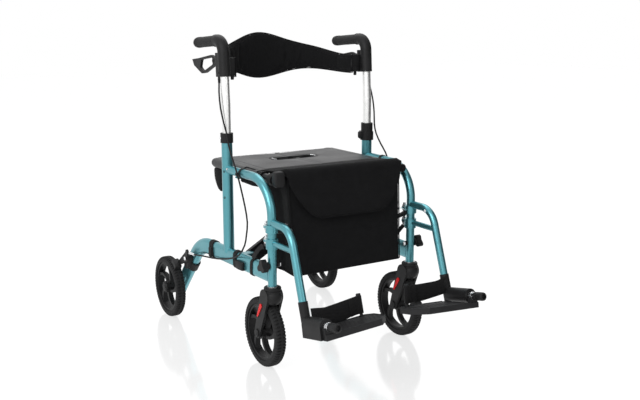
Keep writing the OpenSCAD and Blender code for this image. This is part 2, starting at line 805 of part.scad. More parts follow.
module knob(side) {
    body_t = 16;
    lobe = 11;
    reach = 12;
    start = leg_d / 2 + clear;
    nut_t = 8;
    color(BLACK) on_side(side) translate([leg_x, leg_y, knob_z]) {
        along_x(-start - nut_t, 2 * start + nut_t + 8, knob_stud_d);
        along_x(-start - nut_t, nut_t, 1.7 * knob_stud_d);
        along_x(start, 8, 2 * lobe);
        translate([start + 8, 0, 0]) rotate([90, 0, 90]) linear_extrude(body_t) {
            circle(lobe);
            for (a = [90, 210, 330]) link_2d([0, 0], lobe, reach * [cos(a), sin(a)], lobe - 3);
        }
    }
}

// Footrests

module hanger_sweep() {
    sweep = 90 - hanger_lean;
    start = hanger_corner - hanger_tangent;
    low = foot_z + 22;
    line_y = function (z) leg_y - hanger_corner - (hanger_z - z) * tan(hanger_lean);
    bend_end = hanger_z - hanger_tangent * cos(hanger_lean);
    translate([leg_x, leg_y - start, hanger_z]) along_y(0, start, hanger_d);
    translate([leg_x, leg_y - start, hanger_z - hanger_bend_r]) bend_yz(hanger_bend_r, hanger_d, 180, sweep);
    rod([leg_x, line_y(bend_end), bend_end], [leg_x, line_y(low), low], hanger_d);
    rod([leg_x, line_y(bend_end + seam), bend_end + seam], [leg_x, line_y(bend_end - seam), bend_end - seam],
        hanger_d + 2 * seam_rise);
}

module hanger(side) {
    lug_len = 22;
    lug_t = 6;
    lug_w = 16;
    bolt_d = 7;
    bolt_len = 26;
    ring_d = leg_d + 2 * clear + 2 * ring_wall;
    brace_end = hanger_corner + (hanger_z - lower_ring_z) * tan(hanger_lean);
    color(TEAL) on_side(side) difference() {
        union() {
            hanger_sweep();
            for (z = [upper_ring_z, lower_ring_z]) translate([leg_x, leg_y, z]) {
                cylinder(h = ring_h, d = ring_d, center = true);
                translate([-lug_w / 2, 0, -lug_t / 2]) cube([lug_w, ring_d / 2 + lug_len - lug_w / 2, lug_t]);
                translate([0, ring_d / 2 + lug_len - lug_w / 2, -lug_t / 2]) cylinder(h = lug_t, d = lug_w);
                translate([0, ring_d / 2 + lug_len - lug_w / 2, 0]) cylinder(h = bolt_len, d = bolt_d, center = true);
            }
            translate([leg_x, leg_y - brace_end, lower_ring_z]) along_y(0, brace_end, hanger_brace_d);
        }
        translate([leg_x, leg_y, foot_z]) cylinder(h = hoop_z - foot_z, d = leg_d + 2 * clear);
    }
}

module foot_block(side) {
    sleeve_wall = 2;
    sleeve_len = 40;
    sleeve_foot = 24;
    back = -8;
    skirt_t = 12;
    skirt_drop = plate_drop + plate_t;
    line = [0, -sin(hanger_lean), -cos(hanger_lean)];
    mouth = [leg_x, foot_y, foot_z] - (22 / cos(hanger_lean) + sleeve_len - 6) * line;
    color(BLACK) on_side(side) difference() {
        union() {
            rod(mouth, [leg_x, foot_y, foot_z] + sleeve_foot * line, hanger_d + 2 * sleeve_wall);
            in_foot() {
                along_y(-barrel_len, barrel_len + back, barrel_d);
                translate([barrel_d / 2 - skirt_t, -barrel_len, -skirt_drop])
                    cube([skirt_t, barrel_len + back, skirt_drop]);
            }
        }
        hanger_sweep();
        in_foot() along_y(-barrel_len - over, barrel_len - pin_start + over, foot_pin_d);
    }
}

ear_t = 12;
pin_bare = 5;

module foot_pin(side) {
    cap_start = barrel_len + clear + ear_t + pin_bare;
    color(SILVER) on_side(side) in_foot() {
        along_y(-cap_start, cap_start - pin_start, foot_pin_d);
        along_y(-cap_start - cap_len, cap_len, cap_d);
    }
}

// Plate outline in X and Y of the footrest's frame, with cut corners at its inner end
module plate_2d() {
    outer = -barrel_d / 2 - 2;
    inner = plate_inner - leg_x;
    front = -plate_len - 8;
    back = -8;
    cut = 22;
    ear_front = -barrel_len - clear - ear_t;
    polygon([[outer, back], [inner + cut, back], [inner, back - cut], [inner, front + 1.6 * cut],
             [inner + 1.6 * cut, front], [foot_pin_d, front], [foot_pin_d, -barrel_len - clear],
             [outer, -barrel_len - clear]]);
}

post_d = 9;
post_y = -18;

module footplate(side) {
    ear_r = foot_pin_d / 2 + 4;
    color(GREY) on_side(side) in_foot() rotate([0, plate_roll, 0]) difference() {
        union() {
            translate([0, 0, -plate_drop - plate_t]) linear_extrude(plate_t) plate_2d();
            translate([0, -barrel_len - clear, 0]) rotate([90, 0, 0]) linear_extrude(ear_t) {
                circle(ear_r);
                translate([-ear_r, -plate_drop - plate_t]) square([foot_pin_d + ear_r, plate_drop + plate_t]);
            }
            translate([post_x - leg_x, post_y, -plate_drop - over]) {
                cylinder(h = post_h, d = post_d);
                translate([0, 0, post_h - 6]) cylinder(h = 7, d = post_d + 4);
            }
        }
        along_y(-2 * barrel_len, 2 * barrel_len, foot_pin_d + 2 * run);
    }
}

module heel_strap(side) {
    t = 2.4;
    inner = post_x - leg_x + (post_d + 4) / 2 + clear;
    outer = -barrel_d / 2 - clear;
    color(BLACK) on_side(side) in_foot() rotate([0, plate_roll, 0]) translate([inner, post_y - t / 2, 39 - strap_w])
        cube([outer - inner, t, strap_w]);
}

// Cross brace and seat

// Bar of the brace from its lower pivot on one side to the seat rail on the other
module brace_bar(y, t) {
    len = norm([2 * pivot_x, seat_rail_z - pivot_z]);
    translate([-pivot_x, y, pivot_z]) rotate([0, -bar_angle, 0]) {
        translate([0, 0, -bar_h / 2]) cube([len, t, bar_h]);
        along_y(0, t, bar_h);
    }
}

cross_bolt_d = 10;
cross_z = (pivot_z + seat_rail_z) / 2;
outer_bar_off = inner_bar_t / 2 + clear;
brace_half = outer_bar_off + outer_bar_t;

module brace_a() {
    color(BLACK) difference() {
        union() {
            brace_bar(brace_y - brace_half, outer_bar_t);
            brace_bar(brace_y + outer_bar_off, outer_bar_t);
            translate([-pivot_x, 0, pivot_z]) along_y(brace_y - brace_half, 2 * brace_half, brace_pin_d);
        }
        translate([0, 0, cross_z]) along_y(brace_y - 2 * brace_half, 4 * brace_half, cross_bolt_d);
        translate([pivot_x, 0, seat_rail_z]) along_y(seat_rail_front, seat_rail_rear - seat_rail_front, seat_rail_d);
    }
}

module brace_b() {
    head_t = 4;
    color(BLACK) mirror([1, 0, 0]) difference() {
        union() {
            brace_bar(brace_y - inner_bar_t / 2, inner_bar_t);
            translate([-pivot_x, 0, pivot_z]) along_y(brace_y - brace_half - head_t, 2 * (brace_half + head_t), brace_pin_d);
        }
        translate([0, 0, cross_z]) along_y(brace_y - 2 * brace_half, 4 * brace_half, cross_bolt_d + 2 * run);
        translate([pivot_x, 0, seat_rail_z]) along_y(seat_rail_front, seat_rail_rear - seat_rail_front, seat_rail_d);
    }
}

module cross_bolt() {
    head_t = 5;
    color(SILVER) translate([0, 0, cross_z]) {
        along_y(brace_y - brace_half, 2 * brace_half, cross_bolt_d);
        for (y = [brace_y - brace_half - head_t, brace_y + brace_half]) along_y(y, head_t, 1.8 * cross_bolt_d);
    }
}

module seat_rail(side) {
    plug = 8;
    color(BLACK) on_side(side) translate([pivot_x, 0, seat_rail_z]) difference() {
        along_y(seat_rail_front, seat_rail_rear - seat_rail_front, seat_rail_d);
        along_y(seat_rail_front + plug, seat_rail_rear - seat_rail_front, seat_rail_d - 2 * tube_wall);
    }
}

module seat_half(side) {
    ring_in = seat_rail_d + 2 * clear;
    ring_out = ring_in + 2 * sleeve_wall;
    brace_free = brace_half + 4;
    panel_out = pivot_x - seat_rail_d / 2 - clear;
    slot_r = slot_w / 2;
    color(GREY) on_side(side) difference() {
        union() {
            translate([seat_gap / 2, seat_front, seat_top - seat_t])
                cube([pivot_x - seat_gap / 2, seat_rear - seat_front, seat_t]);
            translate([pivot_x, 0, seat_rail_z]) {
                along_y(seat_front, brace_y - brace_free - seat_front, ring_out);
                along_y(brace_y + brace_free, seat_rear - brace_y - brace_free, ring_out);
            }
        }
        translate([pivot_x, 0, seat_rail_z]) along_y(2 * seat_rail_front, 4 * seat_rail_rear, ring_in);
        translate([pivot_x, brace_y - brace_free, seat_rail_z - seat_rail_d])
            cube([seat_rail_d, 2 * brace_free, 2 * seat_rail_d]);
        translate([pivot_x - 1.4 * seat_rail_d, brace_y - brace_free, 0])
            cube([1.4 * seat_rail_d, 2 * brace_free, seat_rail_z + seat_rail_d / 2 - 1]);
        translate([-over, slot_y - slot_r, 0]) cube([slot_len / 2 - slot_r + over, slot_w, 2 * seat_top]);
        translate([slot_len / 2 - slot_r, slot_y, 0]) cylinder(h = 2 * seat_top, d = slot_w);
    }
}

// Soft parts

module bag() {
    round_r = 22;
    top_front = bag_front + 24;
    top_half = pivot_x - seat_rail_d / 2 - clear;
    band_h = 36;
    color(BLACK) {
        plate_yz(-bag_w / 2, bag_w) {
            polygon([[bag_front, bag_floor], [bag_back, bag_floor], [bag_back, bag_top], [top_front + round_r, bag_top],
                     [top_front, bag_top - round_r]]);
            translate([top_front + round_r, bag_top - round_r]) circle(round_r);
        }
        translate([-top_half, top_front + round_r, bag_top - band_h])
            cube([2 * top_half, bag_back - top_front - round_r, band_h]);
    }
}

clip_h = 40;
clip_z = back_low(back_r - back_t / 2) + 6;
back_y = upright_y + 14 + (clip_z + clip_h / 2 - lean_z) * tan(handle_lean);

// Heights of the backrest's edges at a distance from the middle: flat in the middle, swept at the ends
function back_high(x) = let (part = abs(x) / back_r)
    handle_z + back_over - back_fall * (1 - cos(180 * min(1, part / 0.714))) / 2
    - back_end_fall * pow(max(0, (part - 0.476) / 0.495), 2.2);

function back_low(x) = let (part = abs(x) / back_r)
    handle_z - back_under + back_rise * (1 - cos(180 * min(1, part / 0.714))) / 2
    - back_end_dip * pow(max(0, (part - 0.714) / 0.257), 2);

// Ring of the backrest's padded section at a place on its line, with n pointing out of the U:
// round lower and upper edges and swollen faces
function back_ring(at, n) =
    let (r = back_t / 2,
         low = back_low(at.x) + r,
         high = back_high(at.x) - r,
         swell = back_swell * (high - low) / (back_over + back_under),
         place = function (out, z) [at.x + out * n.x, at.y + out * n.y, z])
    concat([for (a = [0 : 45 : 180]) place(r * cos(a), low - r * sin(a))],
           [for (t = [0.25, 0.5, 0.75]) place(-r - swell * sin(180 * t), low + t * (high - low))],
           [for (a = [180 : -45 : 0]) place(r * cos(a), high + r * sin(a))],
           [for (t = [0.75, 0.5, 0.25]) place(r + swell * sin(180 * t), low + t * (high - low))]);

// U of padded band behind the handles, with swept edges and a clip at each end
module backrest() {
    mid_r = back_r - back_t / 2;
    bow_y = back_y + back_ends;
    clip_t = 8;
    color(BLACK) {
        loft(concat([back_ring([mid_r, back_y], [1, 0]), back_ring([mid_r, back_y + back_ends / 2], [1, 0])],
                    [for (a = [0 : 6 : 180]) back_ring([mid_r * cos(a), bow_y + mid_r * sin(a)], [cos(a), sin(a)])],
                    [back_ring([-mid_r, back_y + back_ends / 2], [-1, 0]), back_ring([-mid_r, back_y], [-1, 0])]));
        for (side = [RIGHT, LEFT]) on_side(side) translate([back_r - over, back_y + over, clip_z])
            cube([upright_x - housing_back_w / 2 - (side == LEFT ? clear : 0) - back_r + over, clip_t, clip_h]);
    }
}

side_rail(RIGHT);  // side_rail_right
side_rail(LEFT);  // side_rail_left
front_hoop(RIGHT);  // front_hoop_right
front_hoop(LEFT);  // front_hoop_left
upright(RIGHT);  // upright_right
upright(LEFT);  // upright_left
upright_collar(RIGHT);  // upright_collar_right
upright_collar(LEFT);  // upright_collar_left
latch_clamp();
handle_tube(RIGHT);  // handle_tube_right
handle_tube(LEFT);  // handle_tube_left
handle_housing(RIGHT);  // handle_housing_right
handle_housing(LEFT);  // handle_housing_left
grip(RIGHT);  // grip_right
grip(LEFT);  // grip_left
brake_lever(RIGHT);  // brake_lever_right
brake_lever(LEFT);  // brake_lever_left
brake_cable(RIGHT);  // brake_cable_right
brake_cable(LEFT);  // brake_cable_left
brake_mount(RIGHT);  // brake_mount_right
brake_mount(LEFT);  // brake_mount_left
brake_arm(RIGHT);  // brake_arm_right
brake_arm(LEFT);  // brake_arm_left
rear_axle(RIGHT);  // rear_axle_right
rear_axle(LEFT);  // rear_axle_left
rear_rim(RIGHT);  // rear_rim_right
rear_rim(LEFT);  // rear_rim_left
rear_tyre(RIGHT);  // rear_tyre_right
rear_tyre(LEFT);  // rear_tyre_left
castor_fork(RIGHT);  // castor_fork_right
castor_fork(LEFT);  // castor_fork_left
castor_pins(RIGHT);  // castor_pins_right
castor_pins(LEFT);  // castor_pins_left
reflectors(RIGHT);  // reflectors_right
reflectors(LEFT);  // reflectors_left
castor_rim(RIGHT);  // castor_rim_right
castor_rim(LEFT);  // castor_rim_left
castor_tyre(RIGHT);  // castor_tyre_right
castor_tyre(LEFT);  // castor_tyre_left
knob(RIGHT);  // knob_right
knob(LEFT);  // knob_left
hanger(RIGHT);  // hanger_right
hanger(LEFT);  // hanger_left
foot_block(RIGHT);  // foot_block_right
foot_block(LEFT);  // foot_block_left
foot_pin(RIGHT);  // foot_pin_right
foot_pin(LEFT);  // foot_pin_left
footplate(RIGHT);  // footplate_right
footplate(LEFT);  // footplate_left
heel_strap(RIGHT);  // heel_strap_right
heel_strap(LEFT);  // heel_strap_left
brace_a();
brace_b();
cross_bolt();
seat_rail(RIGHT);  // seat_rail_right
seat_rail(LEFT);  // seat_rail_left
seat_half(RIGHT);  // seat_half_right
seat_half(LEFT);  // seat_half_left
bag();
backrest();
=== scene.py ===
"""Dresses the rollator transport chair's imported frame: finishes, soft parts, fittings and a plain studio."""

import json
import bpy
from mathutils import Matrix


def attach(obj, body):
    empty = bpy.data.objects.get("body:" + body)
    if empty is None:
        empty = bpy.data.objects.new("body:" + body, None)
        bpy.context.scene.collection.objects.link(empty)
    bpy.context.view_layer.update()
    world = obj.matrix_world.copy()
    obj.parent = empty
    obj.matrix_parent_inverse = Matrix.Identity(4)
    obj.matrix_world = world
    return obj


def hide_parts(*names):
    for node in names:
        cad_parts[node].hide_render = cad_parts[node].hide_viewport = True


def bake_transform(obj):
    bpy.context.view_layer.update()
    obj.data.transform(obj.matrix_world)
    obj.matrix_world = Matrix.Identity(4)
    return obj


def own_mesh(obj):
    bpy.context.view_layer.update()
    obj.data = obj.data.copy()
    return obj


bl_info = {
    "name": "Rollator Transport Chair",
    "version": (1, 0, 0),
    "blender": (4, 5, 0),
    "location": "View3D > Sidebar > Chair",
    "description": "Finishes, soft parts and fittings of a folding rollator transport chair",
    "category": "Object",
}

from math import copysign, cos, exp, hypot, pi, radians, sin, sqrt

import bmesh
import bpy
from bpy.props import FloatProperty, FloatVectorProperty, IntProperty, PointerProperty
from mathutils import Matrix, Vector

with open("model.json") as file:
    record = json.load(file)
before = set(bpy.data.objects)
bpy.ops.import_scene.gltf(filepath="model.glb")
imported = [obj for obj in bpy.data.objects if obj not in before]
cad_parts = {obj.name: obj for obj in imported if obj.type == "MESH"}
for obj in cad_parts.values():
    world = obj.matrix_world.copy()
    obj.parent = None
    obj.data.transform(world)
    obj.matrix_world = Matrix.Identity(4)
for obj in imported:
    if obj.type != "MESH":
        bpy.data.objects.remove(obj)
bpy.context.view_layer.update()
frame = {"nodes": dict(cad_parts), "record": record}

MM = 0.001
SIDES = (("right", -1), ("left", 1))


def turned_about(point, degrees, axis):
    """A turn about an axis through a point."""
    return Matrix.Translation(point) @ Matrix.Rotation(radians(degrees), 4, axis) @ Matrix.Translation(-Vector(point))


# Places of the frame, in millimetres, on the left side
LEG = Vector((238, -182, 0))
FLARE = radians(2.2)
UPRIGHT = Vector((247.405, 62.819, 0))
RAIL_Z = 278
RAIL_R = 12.5
SEAT_RAIL = Vector((210, 0, 533))
SEAT_TOP = 547.3
SEAT_UNDER = 536
SEAT_FRONT, SEAT_BACK = -62, 213
SLOT_Y = 102
SLOT_R = 21
SLOT_IN = 53
REAR_HUB = Vector((294.408, 414.295, 100))
CASTOR_HUB = Vector((238, -135, 100))
BOOT_AT = Vector((LEG.x, LEG.y, 233.2))
LEVER_PIVOT = Vector((247.405, 121.819, 847))
BRAKE_PIVOT = Vector((292.6, 289.3, 222))
CABLE_TOP = Vector((257, 83.3, 804))
CABLE_END = Vector((283.2, 273.6, 242.8))
CABLE_BEFORE_END = Vector((277, 254, 241))
GRIP_Z = 907
LEAN = turned_about((0, UPRIGHT.y, 720), -3.5, "X")
FOOT = Matrix.Translation((238, -361.229, 190)) @ Matrix.Rotation(radians(-12), 4, "X")
PLATE = FOOT @ Matrix.Rotation(radians(3.5), 4, "Y")
PLATE_TOP = -18
POST = Vector((-160, -18, 0))
BACK_R = 210
BACK_MID_R = 204
BACK_Y = 83.3
BACK_BOW_Y = 113.3
CLIP_Z = 806
BAG_LOW, BAG_TALL = 269, 271
BAG_MID_Y, BAG_BACK_Y = -136, -68
BAG_COLUMNS = 26
BAG_LEVELS = (269, 273, 282, 296, 312, 330, 350, 372, 394, 416, 438, 460, 482, 502, 518, 530, 538)

X, Y, Z = Vector((1, 0, 0)), Vector((0, 1, 0)), Vector((0, 0, 1))

# Corners of bands and blocks: 1 is round, less is squarer
BAND_CORNER, BLOCK_CORNER, LATCH_CORNER = 0.35, 0.4, 0.5

# A row of stitches: length of one, gap and thread radius
SEAT_STITCH, FLAP_STITCH, BACK_STITCH, REAR_STITCH = (3.2, 1.6, 0.45), (3.2, 1.6, 0.4), (3.4, 1.8, 0.45), (3, 1.6, 0.45)

# Turned forms: rows of radius and distance along the axis
PLUG = ((0.01, 0), (12.4, 0), (12.6, 0.6), (11.8, 1.4), (8, 1.8), (0.01, 1.9))
HUB_CAP = ((13.2, 0.3), (17, 0.2), (17.4, 1.2), (16.6, 3.4), (14.8, 5.6), (13.4, 6.6), (12.6, 6.2), (8, 6.4),
           (7.4, 7.3), (0.01, 7.5))
HUB_RING = ((13, 0), (16.5, 0), (16, -1.6), (13, -2))
AXLE_CAP = ((9, 0.1), (11.5, 0.1), (11.6, 1.4), (10.6, 3.4), (9.6, 4.4), (8.6, 4.2), (5.4, 4.3), (5.1, 4.9), (0.01, 5))
BOOT = ((21.6, -11), (23.8, -10.4), (24.5, -9), (24.5, -1.6), (23.6, -0.4), (22.4, 0.2), (22.4, 1.4), (24, 2.4),
        (24.2, 7.6), (23.2, 9.4), (17, 9.9))
HINGE_PIN = ((0.01, -40), (7, -40), (7, -110.6), (10.6, -110.8), (11.2, -111.4), (11.2, -117.2), (0.01, -117.4))
PIN_NECK = ((8, -116.6), (11, -117), (11.5, -118), (11.5, -124), (10.6, -125), (10.6, -126.2))
PIN_KNOB = ((6, -126.2), (11, -126.2), (11.5, -127.2), (11.5, -149.4), (10.9, -151.6), (9.4, -153.2), (7.4, -153.9),
            (6.6, -153.2), (6.2, -148), (0.01, -147.6))
HINGE_SLEEVE = ((11.1, -98.6), (11.7, -98.8), (11.9, -99.4), (11.9, -109.6), (11.7, -110.2), (11.1, -110.3))
STUD = ((2.0, -0.3), (1.9, 0.2), (1.4, 0.5), (0.01, 0.6))
BOLT_END = ((0.01, 0), (4.2, 0), (4.2, 11.4), (3.4, 12.4), (0.01, 12.6))
# Black disc on the tube: painted shade standing in for the dark inside of a hole
HOLE_SHADE_DISC = ((0.01, -1.2), (3.4, -1.2), (3.4, 0.15), (2.9, 0.4), (2.6, 0.1), (0.01, -0.2))
CABLE_GUIDE = ((4.4, 0), (4.4, 9), (3.8, 10.5), (3.4, 18), (2.7, 20), (2.7, 3))
GRIP_COLLAR = ((15.6, 0), (17.4, 0), (17.9, 1), (17.9, 3.4), (17.2, 4.2), (16.4, 4.4), (15.6, 4.4))
GRIP_RING = ((15.5, 0), (16.05, 0.5), (16.05, 2), (15.5, 2.5))
FERRULE = ((2.6, -24), (3.8, -23), (3.8, -8), (4.6, -7), (4.6, -1), (3, 0), (2.6, 0))

# Half of a tyre's section: distance from the middle, radius and how deep the tread cuts there
TYRE_HALF = ((15, 82, 0), (15.3, 83.5, 0), (15.3, 86, 0), (14.8, 87.5, 0), (15, 90, 0), (14.9, 93.6, 0.5),
             (13.9, 96.6, 1), (11.6, 99, 1), (8, 99.85, 1), (3.4, 100, 1), (2.9, 100, 0), (0, 100, 0))
TYRE_INSIDE = ((12, 81.2, 0), (-12, 81.2, 0))

# Creases of the bag's front: place x and z, way x and z, half length, half width and depth
CREASES = ((120, 320, 0.55, 0.83, 70, 13, 2.6), (148, 300, 0.3, 0.95, 60, 9, -1.8),
           (-140, 310, -0.5, 0.86, 70, 12, 2.2), (-60, 290, 0.1, 1, 40, 18, -1.2),
           (30, 300, -0.2, 0.98, 50, 22, 1.3), (150, 380, 0.7, 0.71, 40, 8, 1.6))


def unit(v):
    return Vector(v).normalized()


def smooth_step(t):
    t = min(1, max(0, t))
    return t * t * (3 - 2 * t)


def turn(degrees):
    """Cosine and sine of an angle."""
    return cos(radians(degrees)), sin(radians(degrees))


def squared(count, power):
    """Points round a square with rounded corners, from -1 to 1 both ways; power 1 gives a circle."""
    ways = [(cos(2 * pi * k / count), sin(2 * pi * k / count)) for k in range(count)]
    return [(copysign(abs(c) ** power, c), copysign(abs(s) ** power, s)) for c, s in ways]


def on_rail(s, out, z):
    """A point beside the left side rail's middle line, s back from the front leg."""
    along, aside = Vector((sin(FLARE), cos(FLARE), 0)), Vector((cos(FLARE), -sin(FLARE), 0))
    return Vector((LEG.x, LEG.y, z)) + s * along + out * aside


def smooth_line(points, steps):
    """A curve through the points."""
    pts = [Vector(p) for p in points]
    line = []
    for i in range(len(pts) - 1):
        a, b, c, d = pts[max(i - 1, 0)], pts[i], pts[i + 1], pts[min(i + 2, len(pts) - 1)]
        for k in range(steps):
            t = k / steps
            bend = (2 * a - 5 * b + 4 * c - d) * t * t + (3 * b - a - 3 * c + d) * t ** 3
            line.append(0.5 * (2 * b + (c - a) * t + bend))
    return line + [pts[-1]]


class Shape:
    """Points and faces of one piece, in millimetres, drawn for the left side and mirrored for the right."""

    def __init__(self, side=1, place=None):
        self.points, self.faces, self.side, self.place = [], [], side, place

    def add(self, points, faces):
        base = len(self.points)
        self.points += [self.place @ Vector(p) if self.place else Vector(p) for p in points]
        self.faces += [tuple(base + i for i in f) for f in faces]

    def loft(self, rings, round_trip=False):
        """A skin over rings of as many points each."""
        n, count = len(rings[0]), len(rings)
        faces = []
        for i in range(count if round_trip else count - 1):
            a, b = i * n, (i + 1) % count * n
            faces += [(a + k, a + (k + 1) % n, b + (k + 1) % n, b + k) for k in range(n)]
        if not round_trip:
            faces += [tuple(range(n - 1, -1, -1)), tuple(range((count - 1) * n, count * n))]
        self.add([p for r in rings for p in r], faces)

    def lathe(self, profile, at, axis, sides=28, lobes=0, lobe_depth=0):
        """Turned form: profile rows are (radius, distance along the axis); lobes ripple the radius."""
        axis = unit(axis)
        u = unit(axis.cross(Vector((0, 0, 1)) if abs(axis.z) < 0.9 else Vector((1, 0, 0))))
        w = axis.cross(u)
        rings = []
        for r, h in profile:
            ring = []
            for k in range(sides):
                a = 2 * pi * k / sides
                rr = r + (lobe_depth * cos(lobes * a) if lobes and r > 1 else 0)
                ring.append(Vector(at) + axis * h + rr * (cos(a) * u + sin(a) * w))
            rings.append(ring)
        self.loft(rings)

    def along_y(self, section, y0, y1, parts):
        """A section of (x, z) points drawn from y0 to y1."""
        self.loft([[Vector((x, y0 + (y1 - y0) * k / parts, z)) for x, z in section] for k in range(parts + 1)])

    def sweep(self, line, section, wide, deep, face, closed):
        """A section carried along a line; face is the way, or the function of it, that the section looks along."""
        line = [Vector(p) for p in line]
        n = len(line)
        rings, across = [], None
        for i, p in enumerate(line):
            if closed:
                along = unit(line[(i + 1) % n] - line[i - 1])
            else:
                along = unit(line[min(i + 1, n - 1)] - line[max(i - 1, 0)])
            if face is not None:
                across = unit(along.cross(Vector(face(i) if callable(face) else face)))
            elif across is None:
                across = unit(along.cross(Vector((0.3, 0.2, 1))))
            else:
                across = unit(across - along * across.dot(along))
            third = across.cross(along)
            rings.append([p + wide * c * across + deep * s * third for c, s in section])
        self.loft(rings, round_trip=closed)

    def tube(self, line, r, sides=8, closed=False):
        """Round cord along a line."""
        self.sweep(line, squared(sides, 1), r, r, None, closed)

    def band(self, line, wide, deep, face, sides=12, closed=False):
        """Flat band along a line, of half width and half thickness."""
        self.sweep(line, squared(sides, BAND_CORNER), wide, deep, face, closed)

    def hoop(self, middle, r, wide, deep, step=15, sides=12):
        """Flat band round a tube that lies along Y."""
        ways = [Vector((c, 0, s)) for c, s in map(turn, range(0, 360, step))]
        self.band([middle + r * w for w in ways], wide, deep, lambda i: ways[i], sides, closed=True)

    def stitches(self, line, length, gap, r, face):
        """Row of thread stitches along a line, pressed into the cloth that faces along face."""
        line = [Vector(p) for p in line]
        total, at = [0], 0
        for a, b in zip(line, line[1:]):
            total.append(total[-1] + (b - a).length)

        def point(d):
            i = max(k for k in range(len(total)) if total[k] <= d + 1e-9)
            i = min(i, len(line) - 2)
            return line[i].lerp(line[i + 1], (d - total[i]) / max(total[i + 1] - total[i], 1e-9)), i

        while at + length < total[-1]:
            (p, i), (q, _) = point(at), point(at + length)
            out = unit(face(i) if callable(face) else face)
            dip, lift = 0.6 * r * out, 0.5 * r * out
            self.tube([p - dip, p.lerp(q, 0.3) + lift, p.lerp(q, 0.7) + lift, q - dip], r, 5)
            at += length + gap

    def hex_head(self, at, axis, r, h):
        """Hexagon bolt head with a chamfered face and a washer under it."""
        self.lathe([(0.01, 0), (1.25 * r, 0), (1.25 * r, 0.18 * h), (1.2 * r, 0.2 * h)], at, axis, 24)
        self.lathe([(0.01, 0.2 * h), (r, 0.2 * h), (r, 0.85 * h), (0.86 * r, h), (0.01, h)], at, axis, 6)

    def screw(self, at, axis, r, h):
        """Dome screw with a socket."""
        dome = [(0.01, -0.5), (r, -0.5), (r, 0.25 * h), (0.85 * r, 0.75 * h), (0.5 * r, h)]
        self.lathe(dome + [(0.45 * r, 0.97 * h), (0.42 * r, 0.35 * h), (0.01, 0.3 * h)], at, axis, 18)

    def make(self, name, slot, body=None, sharp=35, weld=True):
        """Builds the piece in metres, gives it its finish and sets it on a body."""
        flip = self.side < 0
        mesh = bpy.data.meshes.new(name)
        mesh.from_pydata([((-p.x if flip else p.x) * MM, p.y * MM, p.z * MM) for p in self.points], [], self.faces)
        bm = bmesh.new()
        bm.from_mesh(mesh)
        if weld:
            bmesh.ops.remove_doubles(bm, verts=bm.verts, dist=2e-6)
            bmesh.ops.dissolve_degenerate(bm, edges=bm.edges, dist=1e-7)
        bmesh.ops.recalc_face_normals(bm, faces=bm.faces)
        bm.to_mesh(mesh)
        bm.free()
        mesh.shade_smooth()
        mesh.set_sharp_from_angle(angle=radians(sharp))
        ob = bpy.data.objects.new(name, mesh)
        bpy.context.scene.collection.objects.link(ob)
        mesh.materials.append(finish(slot))
        if body:
            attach(ob, body)
        return ob


def settle(ob):
    """Turns a piece's modifiers into its mesh."""
    graph = bpy.context.evaluated_depsgraph_get()
    mesh = bpy.data.meshes.new_from_object(ob.evaluated_get(graph))
    ob.modifiers.clear()
    old, ob.data = ob.data, mesh
    mesh.name = ob.name
    bpy.data.meshes.remove(old)


def subdivide(ob):
    smooth = ob.modifiers.new("smooth", "SUBSURF")
    smooth.levels = smooth.render_levels = 1
    settle(ob)


CLOTH_FRAMES = 20
PRESSURE = 4.0


def plump(ob, voxel, most, room):
    """Swells a padded piece: an even mesh, a short cloth run under pressure, no point further than most times room."""
    even = ob.modifiers.new("even", "REMESH")
    even.mode, even.voxel_size = "VOXEL", voxel * MM
    settle(ob)
    rest = [v.co.copy() for v in ob.data.vertices]
    cloth = ob.modifiers.new("cloth", "CLOTH")
    s = cloth.settings
    s.quality, s.mass = 5, 0.3
    s.use_pressure, s.uniform_pressure_force = True, PRESSURE
    s.tension_stiffness = s.compression_stiffness = 25
    s.bending_stiffness = 2
    s.effector_weights.gravity = 0
    cloth.point_cache.frame_start, cloth.point_cache.frame_end = 1, CLOTH_FRAMES
    for f in range(1, CLOTH_FRAMES + 1):
        bpy.context.scene.frame_set(f)
    graph = bpy.context.evaluated_depsgraph_get()
    swollen = bpy.data.meshes.new_from_object(ob.evaluated_get(graph))
    ob.modifiers.clear()
    for v, r, w in zip(ob.data.vertices, rest, swollen.vertices):
        move = w.co - r
        limit = most * MM * room(r / MM)
        if move.length > limit:
            move = move.normalized() * limit
        v.co = r + move
    bpy.data.meshes.remove(swollen)
    bpy.context.scene.frame_set(1)
    subdivide(ob)
    ob.data.shade_smooth()


# Finishes


def put(tree, kind, **values):
    n = tree.nodes.new(kind)
    for key, value in values.items():
        if key in n.inputs:
            n.inputs[key].default_value = value
        else:
            setattr(n, key, value)
    return n


def fix(node, **sockets):
    for name, value in sockets.items():
        node.inputs[name.replace("_", " ")].default_value = value


# Where a noise's values mostly lie
NOISE_LOW, NOISE_HIGH = 0.3, 0.7


def spread(tree, source, low, high):
    """A texture's value spread between two numbers."""
    m = put(tree, "ShaderNodeMapRange")
    fix(m, From_Min=NOISE_LOW, From_Max=NOISE_HIGH, To_Min=low, To_Max=high)
    tree.links.new(source, m.inputs["Value"])
    return m.outputs["Result"]


def tinted(tree, source, tint, share):
    """A texture's value as a lighter and darker tone of a colour."""
    ramp = put(tree, "ShaderNodeValToRGB")
    for e, k in zip(ramp.color_ramp.elements, (1 - share, 1 + share)):
        e.color = [min(1, c * k) for c in tint] + [1]
    ramp.color_ramp.elements[0].position, ramp.color_ramp.elements[1].position = NOISE_LOW, NOISE_HIGH
    tree.links.new(source, ramp.inputs["Fac"])
    return ramp.outputs["Color"]


def noise(tree, at, scale, detail, stretch=None):
    if stretch:
        m = put(tree, "ShaderNodeMapping", Scale=stretch)
        tree.links.new(at, m.inputs["Vector"])
        at = m.outputs["Vector"]
    n = put(tree, "ShaderNodeTexNoise", Scale=scale, Detail=detail)
    tree.links.new(at, n.inputs["Vector"])
    return n.outputs["Fac"]


